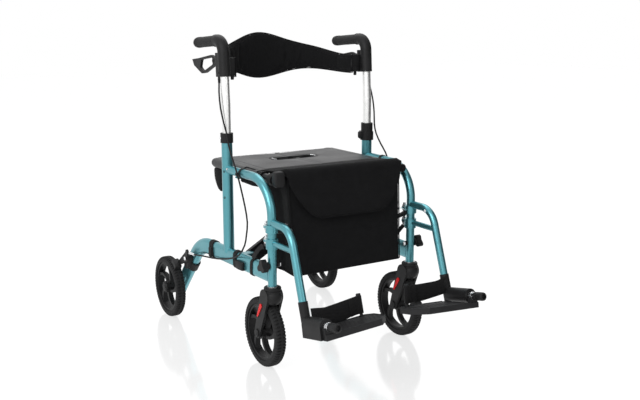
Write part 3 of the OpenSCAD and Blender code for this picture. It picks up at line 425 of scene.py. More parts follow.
def bumped(tree, height, strength, distance, under=None):
    b = put(tree, "ShaderNodeBump", Strength=strength, Distance=distance)
    tree.links.new(height, b.inputs["Height"])
    if under:
        tree.links.new(under, b.inputs["Normal"])
    return b.outputs["Normal"]


def start(name):
    mat = bpy.data.materials.new(name)
    mat.use_nodes = True
    tree = mat.node_tree
    shader = tree.nodes["Principled BSDF"]
    at = put(tree, "ShaderNodeTexCoord").outputs["Object"]
    return mat, tree, shader, at


def link(tree, shader, **sockets):
    for name, source in sockets.items():
        tree.links.new(source, shader.inputs[name.replace("_", " ")])


def painted_tube(name, tint, flake=0.8, gloss=0.3):
    """Metallic paint under a clear coat: fine flakes, slight orange peel, softer gloss in patches."""
    mat, tree, shader, at = start(name)
    fine, patch = noise(tree, at, 1800, 2), noise(tree, at, 26, 4)
    link(tree, shader, Base_Color=tinted(tree, fine, tint, 0.16), Roughness=spread(tree, patch, 0.27, 0.36),
         Normal=bumped(tree, noise(tree, at, 420, 2), 0.06, 0.0004))
    fix(shader, Metallic=flake, Specular_IOR_Level=gloss, Coat_Weight=gloss, Coat_Roughness=0.1)
    return mat


def drawn_metal(name, tint, rough, metallic=1.0):
    """Bare or anodised metal with the long fine lines of drawing or turning."""
    mat, tree, shader, at = start(name)
    lines = noise(tree, at, 1.0, 4, (1600, 1600, 26))
    link(tree, shader, Base_Color=tinted(tree, noise(tree, at, 60, 4), tint, 0.05),
         Roughness=spread(tree, lines, rough * 0.75, rough * 1.25), Normal=bumped(tree, lines, 0.05, 0.0002))
    fix(shader, Metallic=metallic)
    return mat


def moulded(name, tint, rough, grain=1100, depth=0.14):
    """Moulded plastic: spark-eroded grain and a faint bloom."""
    mat, tree, shader, at = start(name)
    bloom = noise(tree, at, 34, 5)
    link(tree, shader, Base_Color=tinted(tree, bloom, tint, 0.18),
         Roughness=spread(tree, bloom, rough - 0.06, rough + 0.08),
         Normal=bumped(tree, noise(tree, at, grain, 3), depth, 0.0004))
    fix(shader, Specular_IOR_Level=0.2)
    return mat


def rubber(name, tint, rough):
    """Rubber: dull, with moulding flow and a little dust in the hollows."""
    mat, tree, shader, at = start(name)
    dust, pores = noise(tree, at, 48, 6), noise(tree, at, 700, 3)
    link(tree, shader, Base_Color=tinted(tree, dust, tint, 0.3),
         Roughness=spread(tree, dust, rough - 0.08, rough + 0.1), Normal=bumped(tree, pores, 0.2, 0.0005))
    fix(shader, Specular_IOR_Level=0.16)
    return mat


def woven(name, tint, pitch, depth, rough, gloss, sheen):
    """Woven cloth: threads both ways at a pitch in metres, with slubs and a soft sheen."""
    mat, tree, shader, at = start(name)
    threads = None
    for way in ("X", "Y", "Z"):
        wave = put(tree, "ShaderNodeTexWave", Scale=2 * pi / (20 * pitch), Distortion=0.6, Detail=1.0)
        wave.bands_direction = way
        tree.links.new(at, wave.inputs["Vector"])
        if threads is None:
            threads = wave.outputs["Fac"]
        else:
            both = put(tree, "ShaderNodeMath", operation="ADD")
            tree.links.new(threads, both.inputs[0])
            tree.links.new(wave.outputs["Fac"], both.inputs[1])
            threads = both.outputs["Value"]
    cloudy = noise(tree, at, 40, 5)
    link(tree, shader, Base_Color=tinted(tree, cloudy, tint, 0.2),
         Roughness=spread(tree, cloudy, rough - 0.06, rough + 0.06),
         Normal=bumped(tree, threads, depth, pitch * 0.4, bumped(tree, noise(tree, at, 16, 3), 0.25, 0.002)))
    fix(shader, Specular_IOR_Level=gloss, Sheen_Weight=sheen, Sheen_Roughness=0.4)
    return mat


def seat_vinyl(name, tint):
    """Coated seat cloth: pebbled grain, rubbed a little smoother in patches."""
    mat, tree, shader, at = start(name)
    cells = put(tree, "ShaderNodeTexVoronoi", Scale=620.0)
    tree.links.new(at, cells.inputs["Vector"])
    worn = noise(tree, at, 9, 5)
    creased = bumped(tree, noise(tree, at, 22, 3), 0.12, 0.002)
    link(tree, shader, Base_Color=tinted(tree, worn, tint, 0.14), Roughness=spread(tree, worn, 0.4, 0.54),
         Normal=bumped(tree, cells.outputs["Distance"], 0.22, 0.0006, creased))
    fix(shader, Specular_IOR_Level=0.4)
    return mat


def red_lens(name, tint):
    """Red reflector: clear face over a bed of small prisms."""
    mat, tree, shader, at = start(name)
    cells = put(tree, "ShaderNodeTexVoronoi", Scale=420.0, distance="CHEBYCHEV")
    tree.links.new(at, cells.inputs["Vector"])
    link(tree, shader, Base_Color=tinted(tree, cells.outputs["Distance"], tint, 0.25),
         Roughness=spread(tree, noise(tree, at, 60, 3), 0.14, 0.24),
         Normal=bumped(tree, cells.outputs["Distance"], 0.4, 0.0006))
    fix(shader, Specular_IOR_Level=0.15, Coat_Weight=0.05, Coat_Roughness=0.05)
    return mat


def finish(slot):
    """The chair's finish for a material slot, made once."""
    if slot in bpy.data.materials and bpy.data.materials[slot].get("chair_finish"):
        return bpy.data.materials[slot]
    tones = bpy.context.scene.chair_finish
    makers = {
        "teal_paint": lambda n: painted_tube(n, tones.teal),
        "bright_tube": lambda n: drawn_metal(n, tones.bright, 0.34, 0.85),
        "steel_pin": lambda n: drawn_metal(n, tones.steel, 0.26),
        "black_tube": lambda n: painted_tube(n, tones.black, 0.1, 0.14),
        "black_plastic": lambda n: moulded(n, tones.black, 0.5),
        "grey_plastic": lambda n: moulded(n, tones.grey, 0.55, 700, 0.3),
        "grip_rubber": lambda n: rubber(n, tones.grip, 0.62),
        "tyre": lambda n: rubber(n, tones.tyre, 0.7),
        "bag_fabric": lambda n: woven(n, tones.bag, 0.0011, 0.35, 0.8, 0.08, 0.04),
        "seat_cloth": lambda n: seat_vinyl(n, tones.seat),
        "webbing": lambda n: woven(n, tones.webbing, 0.0019, 0.6, 0.72, 0.15, 0.06),
        "reflector_red": lambda n: red_lens(n, tones.red),
    }
    old = bpy.data.materials.get(slot)
    if old:
        old.name = slot + ".frame"
    mat = makers[slot](slot)
    mat["chair_finish"] = True
    return mat


# Sizes and colours a user would change


def tone(name, about, colour):
    return FloatVectorProperty(name=name, description=about, subtype="COLOR", size=3, min=0, max=1, default=colour)


def length(name, about, default):
    return FloatProperty(name=name, description=about, default=default, unit="LENGTH")


def power(name, about, default):
    return FloatProperty(name=name, description=about, default=default, unit="POWER")


class ChairFinish(bpy.types.PropertyGroup):
    """Colours of the chair's finishes"""

    teal: tone("Teal paint", "Metallic paint of the frame", (0.1, 0.325, 0.37))
    bright: tone("Bright tube", "Anodised handle tubes", (0.86, 0.86, 0.85))
    steel: tone("Steel", "Pins, bolts and axles", (0.72, 0.73, 0.74))
    black: tone("Black", "Black plastic and paint", (0.011, 0.011, 0.0115))
    grey: tone("Grey plastic", "Footplates", (0.018, 0.018, 0.019))
    grip: tone("Grip rubber", "Hand grips", (0.019, 0.019, 0.0195))
    tyre: tone("Tyre", "Tyre rubber", (0.018, 0.018, 0.0185))
    bag: tone("Bag cloth", "Bag and backrest cloth", (0.0075, 0.0075, 0.008))
    seat: tone("Seat cloth", "Coated cloth of the seat", (0.031, 0.031, 0.032))
    webbing: tone("Webbing", "Straps", (0.008, 0.008, 0.0085))
    red: tone("Reflector", "Red reflectors", (0.85, 0.004, 0.006))


class ChairSizes(bpy.types.PropertyGroup):
    """Sizes of the chair's soft parts and fittings"""

    flap_drop: length("Flap edge height", "Height of the bag flap's lower edge", 0.425)
    bag_sag: length("Bag sag", "How far the bag's floor hangs down in the middle", 0.007)
    seat_swell: length("Seat swell", "Most that the seat's padding swells", 0.003)
    back_swell: length("Backrest swell", "Most that the backrest's padding swells", 0.005)
    piping: length("Piping", "Radius of the sewn edge piping", 0.0018)
    tread_bars: IntProperty(name="Tread bars", description="Bars round each tyre", default=64, min=20)
    plate_studs: length("Stud spacing", "Spacing of the footplates' grip studs", 0.0125)


class ChairStage(bpy.types.PropertyGroup):
    """The studio's light"""

    key: power("Key light", "Power of the main lamp, at the chair's right", 75)
    fill: power("Fill light", "Power of the lamp before the chair, to its left", 14)
    rim: power("Top light", "Power of the lamp above and behind", 30)
    ambient: FloatProperty(name="Ambient", description="Strength of the light from all round", default=0.42, min=0)


LAMP_TARGET = Vector((0, -0.05, 0.45))
WHITE = (1, 1, 1, 1)


def wire(tree, *pairs):
    for source, socket in pairs:
        tree.links.new(source, socket)


class ChairOperator:
    bl_options = {"REGISTER", "UNDO"}


class CHAIR_OT_stage(ChairOperator, bpy.types.Operator):
    """Sets up the camera, lamps, world, floor and dark card"""

    bl_idname = "chair.stage"
    bl_label = "Stage"

    def execute(self, context):
        scene, look = context.scene, context.scene.chair_stage
        scene.view_settings.view_transform = "Standard"
        camera = bpy.data.cameras.new("studio_camera")
        camera.sensor_width, camera.lens, camera.clip_end = 36, 49.25, 100
        eye = bpy.data.objects.new("studio_camera", camera)
        eye.location = (-1.3623, -2.2078, 0.9557)
        eye.rotation_euler = (radians(78.53), 0, radians(-32.264))
        scene.collection.objects.link(eye)
        scene.camera = eye
        for name, watts, size, where in (("key_lamp", look.key, 2.4, (-2.7, -1.3, 2.3)),
                                         ("fill_lamp", look.fill, 2.0, (1.6, -3.0, 1.5)),
                                         ("top_lamp", look.rim, 2.2, (0.5, 1.4, 3.0))):
            lamp = bpy.data.lights.new(name, "AREA")
            lamp.energy, lamp.size = watts, size
            ob = bpy.data.objects.new(name, lamp)
            ob.location = where
            ob.rotation_euler = (LAMP_TARGET - Vector(where)).to_track_quat("-Z", "Y").to_euler()
            scene.collection.objects.link(ob)
        self.world(scene, look)
        self.floor(scene)
        self.flag(scene)
        return {"FINISHED"}

    @staticmethod
    def flag(scene):
        """Black card beside the picture, which darkens one side of the bright tubes."""
        mesh = bpy.data.meshes.new("studio_flag")
        rows = [(0.4 + 2.7 * t, -1.1 + 2.1 * t) for t in (0, 0.5, 1)]
        mesh.from_pydata([(x, y, z) for x, y in rows for z in (0.02, 2.2)], [], [(0, 2, 3, 1), (2, 4, 5, 3)])
        ob = bpy.data.objects.new("studio_flag", mesh)
        scene.collection.objects.link(ob)
        mat, _, shader, _ = start("studio_flag")
        fix(shader, Base_Color=(0.01, 0.01, 0.01, 1), Roughness=0.9)
        mesh.materials.append(mat)
        ob.visible_camera = ob.visible_shadow = ob.visible_diffuse = False

    @staticmethod
    def seen(tree):
        """1 for what the camera sees straight, in gloss or through glass."""
        path = put(tree, "ShaderNodeLightPath")
        total = path.outputs["Is Camera Ray"]
        for name in ("Is Glossy Ray", "Is Transmission Ray"):
            most = put(tree, "ShaderNodeMath", operation="MAXIMUM")
            wire(tree, (total, most.inputs[0]), (path.outputs[name], most.inputs[1]))
            total = most.outputs["Value"]
        return total

    def world(self, scene, look):
        world = bpy.data.worlds.new("studio")
        scene.world = world
        world.use_nodes = True
        tree = world.node_tree
        light = tree.nodes["Background"]
        fix(light, Strength=look.ambient, Color=WHITE)
        white = put(tree, "ShaderNodeBackground", Strength=1.0, Color=WHITE)
        mix = put(tree, "ShaderNodeMixShader")
        wire(tree, (self.seen(tree), mix.inputs["Fac"]), (light.outputs["Background"], mix.inputs[1]),
             (white.outputs["Background"], mix.inputs[2]),
             (mix.outputs["Shader"], tree.nodes["World Output"].inputs["Surface"]))

    def floor(self, scene):
        bm = bmesh.new()
        bmesh.ops.create_grid(bm, x_segments=8, y_segments=8, size=14)
        mesh = bpy.data.meshes.new("studio_floor")
        bm.to_mesh(mesh)
        bm.free()
        ob = bpy.data.objects.new("studio_floor", mesh)
        scene.collection.objects.link(ob)
        mat = bpy.data.materials.new("studio_floor")
        mat.use_nodes = True
        tree = mat.node_tree
        tree.nodes.remove(tree.nodes["Principled BSDF"])
        plain = put(tree, "ShaderNodeBsdfDiffuse", Color=(0.8, 0.8, 0.8, 1))
        shade = put(tree, "ShaderNodeBsdfDiffuse", Color=(0.24, 0.24, 0.24, 1))
        glow = put(tree, "ShaderNodeEmission", Strength=0.9)
        gloss = put(tree, "ShaderNodeBsdfGlossy", Roughness=0.11, Color=WHITE)
        lit, mix = put(tree, "ShaderNodeAddShader"), put(tree, "ShaderNodeMixShader")
        sheen = put(tree, "ShaderNodeMixShader", Fac=0.2)
        wire(tree, (shade.outputs[0], lit.inputs[0]), (glow.outputs[0], lit.inputs[1]),
             (lit.outputs[0], sheen.inputs[1]), (gloss.outputs[0], sheen.inputs[2]),
             (self.seen(tree), mix.inputs["Fac"]), (plain.outputs[0], mix.inputs[1]), (sheen.outputs[0], mix.inputs[2]),
             (mix.outputs[0], tree.nodes["Material Output"].inputs["Surface"]))
        mesh.materials.append(mat)


class CHAIR_OT_frame(ChairOperator, bpy.types.Operator):
    """Gives the frame's own parts their finishes"""

    bl_idname = "chair.frame"
    bl_label = "Frame finishes"

    def execute(self, context):
        slots = {row["node"]: row["material_slot"] for row in frame["record"]["subparts"]}
        for name, ob in frame["nodes"].items():
            if name not in slots:
                raise RuntimeError(f"no finish is given for {name}")
            mat = finish(slots[name])
            for place in ob.material_slots:
                place.material = mat
        return {"FINISHED"}


class CHAIR_OT_bag(ChairOperator, bpy.types.Operator):
    """Makes the under-seat bag with its cover flap and piping"""

    bl_idname = "chair.bag"
    bl_label = "Bag"

    @staticmethod
    def front_y(z):
        return -205 + 24 * (z - BAG_LOW) / BAG_TALL

    @staticmethod
    def folds(x, z):
        """Soft creases of the front panel, as a move along -Y."""
        move = 0
        for x0, z0, dx, dz, long, wide, deep in CREASES:
            a = (x - x0) * dx + (z - z0) * dz
            b = (x - x0) * -dz + (z - z0) * dx
            move += deep * exp(-(a / long) ** 2 - (b / wide) ** 2)
        return move

    def shell_ring(self, z):
        """The bag's outline at a height: front with its folds, left gusset, back, right gusset."""
        t = (z - BAG_LOW) / BAG_TALL
        w, corner = 179 + 8 * smooth_step(t), 6
        front, back = self.front_y(z) + 2, BAG_BACK_Y
        belly = 5 * sin(pi * min(1, t * 1.15)) ** 0.8 if t < 0.87 else 0
        gusset = 15 * sin(pi * (0.12 + 0.8 * t)) if t < 1 else 0
        across = [-1 + 2 * i / BAG_COLUMNS for i in range(BAG_COLUMNS + 1)]
        ring = []
        for u in across:
            x = u * (w - corner)
            ring.append(Vector((x, front - belly * (1 - u * u) - self.folds(x, z) * min(1, 8 * t), z)))
        end = []
        for i in range(11):
            d = i / 10
            end.append((w - gusset * (1 - abs(2 * d - 1)) ** 1.2, front + corner + d * (back - front - 2 * corner)))
        ring += [Vector((x, y, z)) for x, y in end]
        ring += [Vector((u * (w - corner), back + 2 * (1 - u * u) * sin(pi * t), z)) for u in reversed(across)]
        ring += [Vector((-x, y, z)) for x, y in reversed(end)]
        for p in ring:
            p.x += 7 * max(0, p.x) / w
        return ring

    def execute(self, context):
        sizes = context.scene.chair_sizes
        sag = sizes.bag_sag / MM
        shape = Shape()
        rings = [self.shell_ring(z) for z in BAG_LEVELS]
        mid = Vector((0, BAG_MID_Y, 0))

        def drawn_in(ring, share, z, hang):
            out = []
            for p in ring:
                q = mid.lerp(p, share)
                u, v = q.x / 190, (q.y - BAG_MID_Y) / 72
                out.append(Vector((q.x, q.y, z - hang * (1 - u * u) * (1 - v * v))))
            return out

        floor = [drawn_in(rings[0], share, 268, sag) for share in (0.06, 0.4, 0.7, 0.9, 0.985)]
        lid = [drawn_in(rings[-1], share, 540, -2) for share in (0.985, 0.85, 0.5, 0.06)]
        shape.loft(floor + rings + lid)
        bag = shape.make("bag_shell", "bag_fabric", sharp=50)
        subdivide(bag)
        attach(bag, "bag")
        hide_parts("bag")
        self.crush(bag)
        # Piping on the front's side edges and the floor's edge
        pipe = sizes.piping / MM
        trim = Shape()
        for k, way in ((0, -1), (BAG_COLUMNS, 1)):
            trim.tube([r[k] + Vector((way * 3.5, 0.5, 0)) for r in rings], pipe)
        trim.tube([p - 0.5 * Z for p in rings[0]], pipe, closed=True)
        self.crush(trim.make("bag_piping", "bag_fabric", "bag"))
        self.flap(sizes)
        self.hangers()
        return {"FINISHED"}

    @staticmethod
    def crush(ob):
        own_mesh(ob)

    def flap_point(self, u, d):
        """A point of the flap: u across from -1 to 1, d along it from the seat's front edge."""
        x = (209 if u > 0 else 203) * u
        taper = 0.09
        end = smooth_step((abs(u) - 0.93) / 0.07)
        crest = 563 - 8 * end
        top = [(-62.5, 548.2), (-95, 551 - end), (-130, 556 - 3 * end), (-158, crest - 1.2), (-170, crest),
               (-179, crest - 4), (-184.5, crest - 12), (-187, crest - 20)]
        line = smooth_line([(0, y, z) for y, z in top], 4)
        walked = 0
        for a, b in zip(line, line[1:]):
            step = (b - a).length
            if walked + step >= d:
                p = a.lerp(b, (d - walked) / step)
                return Vector((x * (1 - taper * smooth_step((d - 100) / 40)), p.y, p.z))
            walked += step
        last = line[-1]
        z = last.z - (d - walked)
        ease = smooth_step((last.z - z) / 30)
        stand = 8 + 13 * smooth_step((540 - z) / 115)
        y = last.y + (self.front_y(z) - stand - last.y) * ease
        x *= 1 - taper
        return Vector((x, y - 1.2 * sin(3 * u + 0.4) * ease - 0.6 * self.folds(x, z + 60) * ease, z))

    def flap(self, sizes):
        """Cover flap from the seat's front edge over the bag's front, with a rounded lower edge."""
        low = sizes.flap_drop / MM
        columns, rows = 56, 44
        shortest, longest = 131, 400
        outer = []
        for i in range(columns + 1):
            u = -1 + 2 * i / columns
            edge = low + 98 * max(0, (abs(u) - 0.44) / 0.56) ** 2.3
            d = shortest
            while d < longest and self.flap_point(u, d).z > edge:
                d += 1
            outer.append([self.flap_point(u, d * j / rows) for j in range(rows + 1)])
        points = [p for c in outer for p in c]
        starts = [i * (rows + 1) + j for i in range(columns) for j in range(rows)]
        faces = [(a, a + 1, a + rows + 2, a + rows + 1) for a in starts]
        shape = Shape()
        shape.add(points, faces)
        flap = shape.make("bag_flap", "bag_fabric", sharp=180)
        thick = flap.modifiers.new("cloth_thickness", "SOLIDIFY")
        thick.thickness, thick.offset = 0.0016, 0
        settle(flap)
        flap.data.shade_smooth()
        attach(flap, "bag")
        self.crush(flap)
        hem = Shape()
        bound = rows * 5 // 8
        rim = outer[0][bound:rows] + [c[-1] - 0.6 * Y for c in outer] + outer[-1][rows - 1:bound:-1]
        hem.tube(rim, 1.1)
        self.crush(hem.make("bag_flap_binding", "bag_fabric", "bag"))
        sewn = Shape()
        sewn.stitches([c[-1].lerp(c[-2], 0.8) - 1.2 * Y for c in outer], *FLAP_STITCH, -Y)
        self.crush(sewn.make("bag_flap_stitching", "webbing", "bag"))

    @staticmethod
    def hangers():
        """Webbing loops that hang the bag on the seat rails."""
        for (side, sign), body in zip(SIDES, ("bag", "brace_a")):
            for name, y in (("front", -142), ("back", -84)):
                shape = Shape(sign)
                shape.hoop(SEAT_RAIL + y * Y, 15.2, 11, 1.1)
                shape.make(f"bag_loop_{name}_{side}", "webbing", body)


class CHAIR_OT_seat(ChairOperator, bpy.types.Operator):
    """Makes the two padded seat halves with their rail sleeves, slot trim with a painted highlight at the slot's ends,
    and seam cover
    """

    bl_idname = "chair.seat"
    bl_label = "Seat"

    def execute(self, context):
        swell = context.scene.chair_sizes.seat_swell / MM
        for side, sign in SIDES:
            self.pad(side, sign, swell)
            self.sleeve(side, sign)
        self.seam_cover()
        return {"FINISHED"}

    @staticmethod
    def seam_cover():
        """Cloth strip over the gap between the halves, before and behind the hand slot."""
        section = ((-8, 547.2), (-5, 548), (0, 548.2), (5, 548), (8, 547.2), (8, 545), (-8, 545))
        shape = Shape()
        for y0, y1 in ((-60, SLOT_Y - SLOT_R - 1), (SLOT_Y + SLOT_R + 1, 208)):
            shape.along_y(section, y0, y1, 6)
        shape.make("seat_seam_cover", "seat_cloth", "seat_left", sharp=60)

    @staticmethod
    def inner_edge(y):
        """Where the panel starts from the middle: in the hand slot, its rounded end."""
        off = abs(y - SLOT_Y)
        return 0.5 if off > SLOT_R else SLOT_IN + sqrt(SLOT_R * SLOT_R - off * off)

    @staticmethod
    def slot_arc(r, z):
        """Round the slot's end, at a distance from its middle line."""
        return [Vector((SLOT_IN + r * c, SLOT_Y + r * d, z)) for c, d in map(turn, range(-90, 91, 12))]

    def pad(self, side, sign, swell):
        shape = Shape(sign)
        outer, parts = 197, 20
        ys = [SEAT_FRONT, -59, -40, -10, 20, 50, 75, SLOT_Y - SLOT_R - 0.1]
        ys += [SLOT_Y + SLOT_R * d for d in (-0.997, -0.87, -0.67, -0.33, 0, 0.33, 0.67, 0.87, 0.997)]
        ys += [SLOT_Y + SLOT_R + 0.1, 135, 150, 170, 190, 210, SEAT_BACK]
        rings = []
        for y in ys:
            x_in = self.inner_edge(y)
            xs = [x_in + (outer - x_in) * k / parts for k in range(parts + 1)]
            top = [Vector((x, y, SEAT_TOP - 0.8)) for x in xs]
            rings.append(top + [Vector((x, y, SEAT_UNDER)) for x in reversed(xs)])
        shape.loft(rings)
        pad = shape.make(f"seat_pad_{side}", "seat_cloth")
        plump(pad, 3.4, swell, lambda p: 0.25 if p.z < 541 or abs(p.x) < 6 else 1)
        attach(pad, f"seat_{side}")
        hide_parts(f"seat_half_{side}")
        sewn = Shape(sign)
        z, hem, front, back = SEAT_TOP + 1.2, SLOT_R + 8, SEAT_FRONT + 7, SEAT_BACK - 7
        for line in ([(9, SLOT_Y - hem, z), *self.slot_arc(hem, z), (9, SLOT_Y + hem, z)],
                     [(3, front, z), (192, front, z)], [(3, back, z), (192, back, z)],
                     [(187, front, z), (187, back, z)]):
            sewn.stitches(line, *SEAT_STITCH, Z)
        sewn.make(f"seat_stitching_{side}", "webbing", f"seat_{side}")
        lining = Shape(sign)
        wall, middle = SLOT_R - 0.6, 541
        first, last = (Vector((0.5, SLOT_Y + way * wall, middle)) for way in (-1, 1))
        edge = [first, *self.slot_arc(wall, middle), last]
        lining.band(edge, 6.2, 0.7, lambda i: (0.01 + max(0, edge[i].x - SLOT_IN), edge[i].y - SLOT_Y, 0))
        lining.make(f"seat_slot_lining_{side}", "webbing", f"seat_{side}")
        # Bright steel arcs only round the tips of the slot's ends: the rim there is real, but its brightness is a
        # painted highlight of the light it catches, and the rest of the rim is not drawn
        rim_highlight = Shape(sign)
        rim_highlight.tube(self.slot_arc(SLOT_R, SEAT_TOP + 0.7)[4:-4], 1.3, 10)
        rim_highlight.make(f"seat_slot_eyelet_{side}", "steel_pin", f"seat_{side}")

    @staticmethod
    def sleeve(side, sign):
        """Seat cloth that goes on over the rail, open where the brace holds it."""
        shape = Shape(sign)
        ways = [turn(a) for a in range(100, -161, -10)]
        section = [(180, SEAT_TOP + 0.4), (190, SEAT_TOP + 1.8), (200, SEAT_TOP + 1.5)]
        section += [(SEAT_RAIL.x + 14.9 * c, SEAT_RAIL.z + 14.9 * d) for c, d in ways]
        section += [(SEAT_RAIL.x + 13.2 * c, SEAT_RAIL.z + 13.2 * d) for c, d in reversed(ways)]
        section += [(200, SEAT_TOP - 1.4), (190, SEAT_TOP - 1.6), (184, SEAT_TOP - 2)]
        shape.along_y(section, -62.5, -45, 12)
        shape.along_y(section, 14.5, 213.5, 12)
        strip = [(180, 0.4), (192, 1.8), (210, 0.9), (210, -1.2), (192, -1.6), (184, -2)]
        shape.along_y([(x, SEAT_TOP + h) for x, h in strip], -45, 14.5, 4)
        shape.make(f"seat_sleeve_{side}", "seat_cloth", f"seat_{side}", sharp=60)


class CHAIR_OT_backrest(ChairOperator, bpy.types.Operator):
    """Makes the padded backrest band with its piping and end clips"""

    bl_idname = "chair.backrest"
    bl_label = "Backrest"

    @staticmethod
    def dip(part):
        return 1 - cos(pi * min(1, part / 0.714))

    def top(self, x):
        part = min(abs(x), BACK_MID_R) / BACK_R
        return GRIP_Z + 18 - 17 * self.dip(part) - 33 * max(0, (part - 0.476) / 0.495) ** 2.2

    def bottom(self, x):
        part = min(abs(x), BACK_MID_R) / BACK_R
        return GRIP_Z - 127 + 14.5 * self.dip(part) - 9 * max(0, (part - 0.714) / 0.257) ** 2

    @staticmethod
    def line(step=4):
        """Middle line of the band from the left end to the right, each with its outward way."""
        left = [(Vector((BACK_MID_R, y, 0)), X) for y in (BACK_Y, BACK_Y + 15)]
        bow = [(Vector((BACK_MID_R * c, BACK_BOW_Y + BACK_MID_R * d, 0)), Vector((c, d, 0)))
               for c, d in map(turn, range(0, 181, step))]
        return left + bow + [(Vector((-BACK_MID_R, y, 0)), -X) for y in (BACK_Y + 15, BACK_Y)]

    def execute(self, context):
        sizes = context.scene.chair_sizes
        shape = Shape()
        rings = []
        for at, n in self.line():
            low, high, r = self.bottom(at.x) + 6, self.top(at.x) - 6, 5.2
            heights = [low + t * (high - low) for t in (0.2, 0.4, 0.6, 0.8)]
            ring = [at + n * r * c + (low - r * d) * Z for c, d in map(turn, range(0, 181, 30))]
            ring += [at - n * r + h * Z for h in heights]
            ring += [at + n * r * c + (high + r * d) * Z for c, d in map(turn, range(180, -1, -30))]
            ring += [at + n * r + h * Z for h in reversed(heights)]
            rings.append(ring)
        shape.loft(rings)
        pad = shape.make("backrest_pad", "bag_fabric")

        def room(p):
            edge = min(p.z - self.bottom(p.x), self.top(p.x) - p.z)
            return 0.12 + 0.88 * smooth_step(edge / 26)

        plump(pad, 5.0, sizes.back_swell / MM, room)
        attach(pad, "handle_right")
        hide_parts("backrest")
        self.crush(pad)
        trim = Shape()
        rows = self.line(3)
        edge = [at + (self.top(at.x) - 1.5) * Z for at, n in rows]
        edge += [at + (self.bottom(at.x) + 1.2) * Z for at, n in reversed(rows)]
        trim.tube(edge, sizes.piping / MM, closed=True)
        self.crush(trim.make("backrest_piping", "bag_fabric", "handle_right"))
        sewn = Shape()
        for way in (1, -1):
            for height in (lambda x: self.bottom(x) + 12, lambda x: self.top(x) - 12):
                path = [at + n * way * 7.2 + height(at.x) * Z for at, n in rows]
                sewn.stitches(path, *BACK_STITCH, lambda i: rows[i][1] * way)
        self.crush(sewn.make("backrest_stitching", "webbing", "handle_right"))
        self.clips()
        return {"FINISHED"}

    @staticmethod
    def crush(ob):
        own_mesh(ob)

    @staticmethod
    def clips():
        """End clips that hold the band to the handle housings, with a lock tongue below."""
        r = 1.5
        for side, sign in SIDES:
            shape = Shape(sign)
            for y0, y1, z0, z1, xa, xb in ((1.2, 8.8, -2, 50, 204, 234.2), (1.5, 9, -2, 42, 203, 212),
                                           (-1.5, 4, -13, 3, 210, 220)):
                rings = []
                for x, inset in ((xa, 1.6), (xa + 1.2, 0), (xb - 1.2, 0), (xb, 1.6)):
                    a, b = BACK_Y + y0 + inset, BACK_Y + y1 - inset
                    c, d = CLIP_Z + z0 + inset, CLIP_Z + z1 - inset
                    corners = ((a + r, c), (b - r, c), (b, c + r), (b, d - r),
                               (b - r, d), (a + r, d), (a, d - r), (a, c + r))
                    rings.append([Vector((x, y, z)) for y, z in corners])
                shape.loft(rings)
            shape.make(f"backrest_clip_{side}", "black_plastic", f"handle_{side}")


class CHAIR_OT_heel_straps(ChairOperator, bpy.types.Operator):
    """Makes the heel straps from the foot blocks round the plate posts"""

    bl_idname = "chair.heel_straps"
    bl_label = "Heel straps"

    def execute(self, context):
        start_x, ply = -13.5, 1.1
        line = [(start_x, -9), (-24, -13.5), (-45, -15.5), (-72, -15), (-100, -14), (-130, -15), (-150, -17)]
        tail = [(-150, -21), (-138, -19.6), (-128, -18.4)]
        around = [POST + 6.6 * Vector((c, d, 0)) for c, d in map(turn, range(60, 301, 20))]
        path = smooth_line([(x, y, 0) for x, y in line], 6) + around + smooth_line([(x, y, 0) for x, y in tail], 3)
        section = [(1, 0.03), (1, 0.35), (1, 0.65), (1, 0.97), (0, 1)]
        section += [(-1, 0.97), (-1, 0.65), (-1, 0.35), (-1, 0.03), (0, 0)]
        for side, sign in SIDES:
            rings = []
            for i, p in enumerate(path):
                along = unit(path[min(i + 1, len(path) - 1)] - path[max(i - 1, 0)])
                out = Vector((-along.y, along.x, 0))
                t = min(1, max(0, (start_x - p.x) / 144))
                low = 7 * smooth_step((t - 0.6) / 0.35) - 16.5
                high = 37.5 - 6 * smooth_step(t / 0.3) + 8 * t * t
                if side == "left":
                    low, high = low + 22 * (1 - t), high + 15 * (1 - t)
                rings.append([p + out * ply * o + (low + h * (high - low)) * Z for o, h in section])
            shape = Shape(sign, PLATE)
            shape.loft(rings)
            strap = shape.make(f"heel_band_{side}", "webbing", sharp=60)
            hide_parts(f"heel_strap_{side}")
            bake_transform(strap)
        return {"FINISHED"}


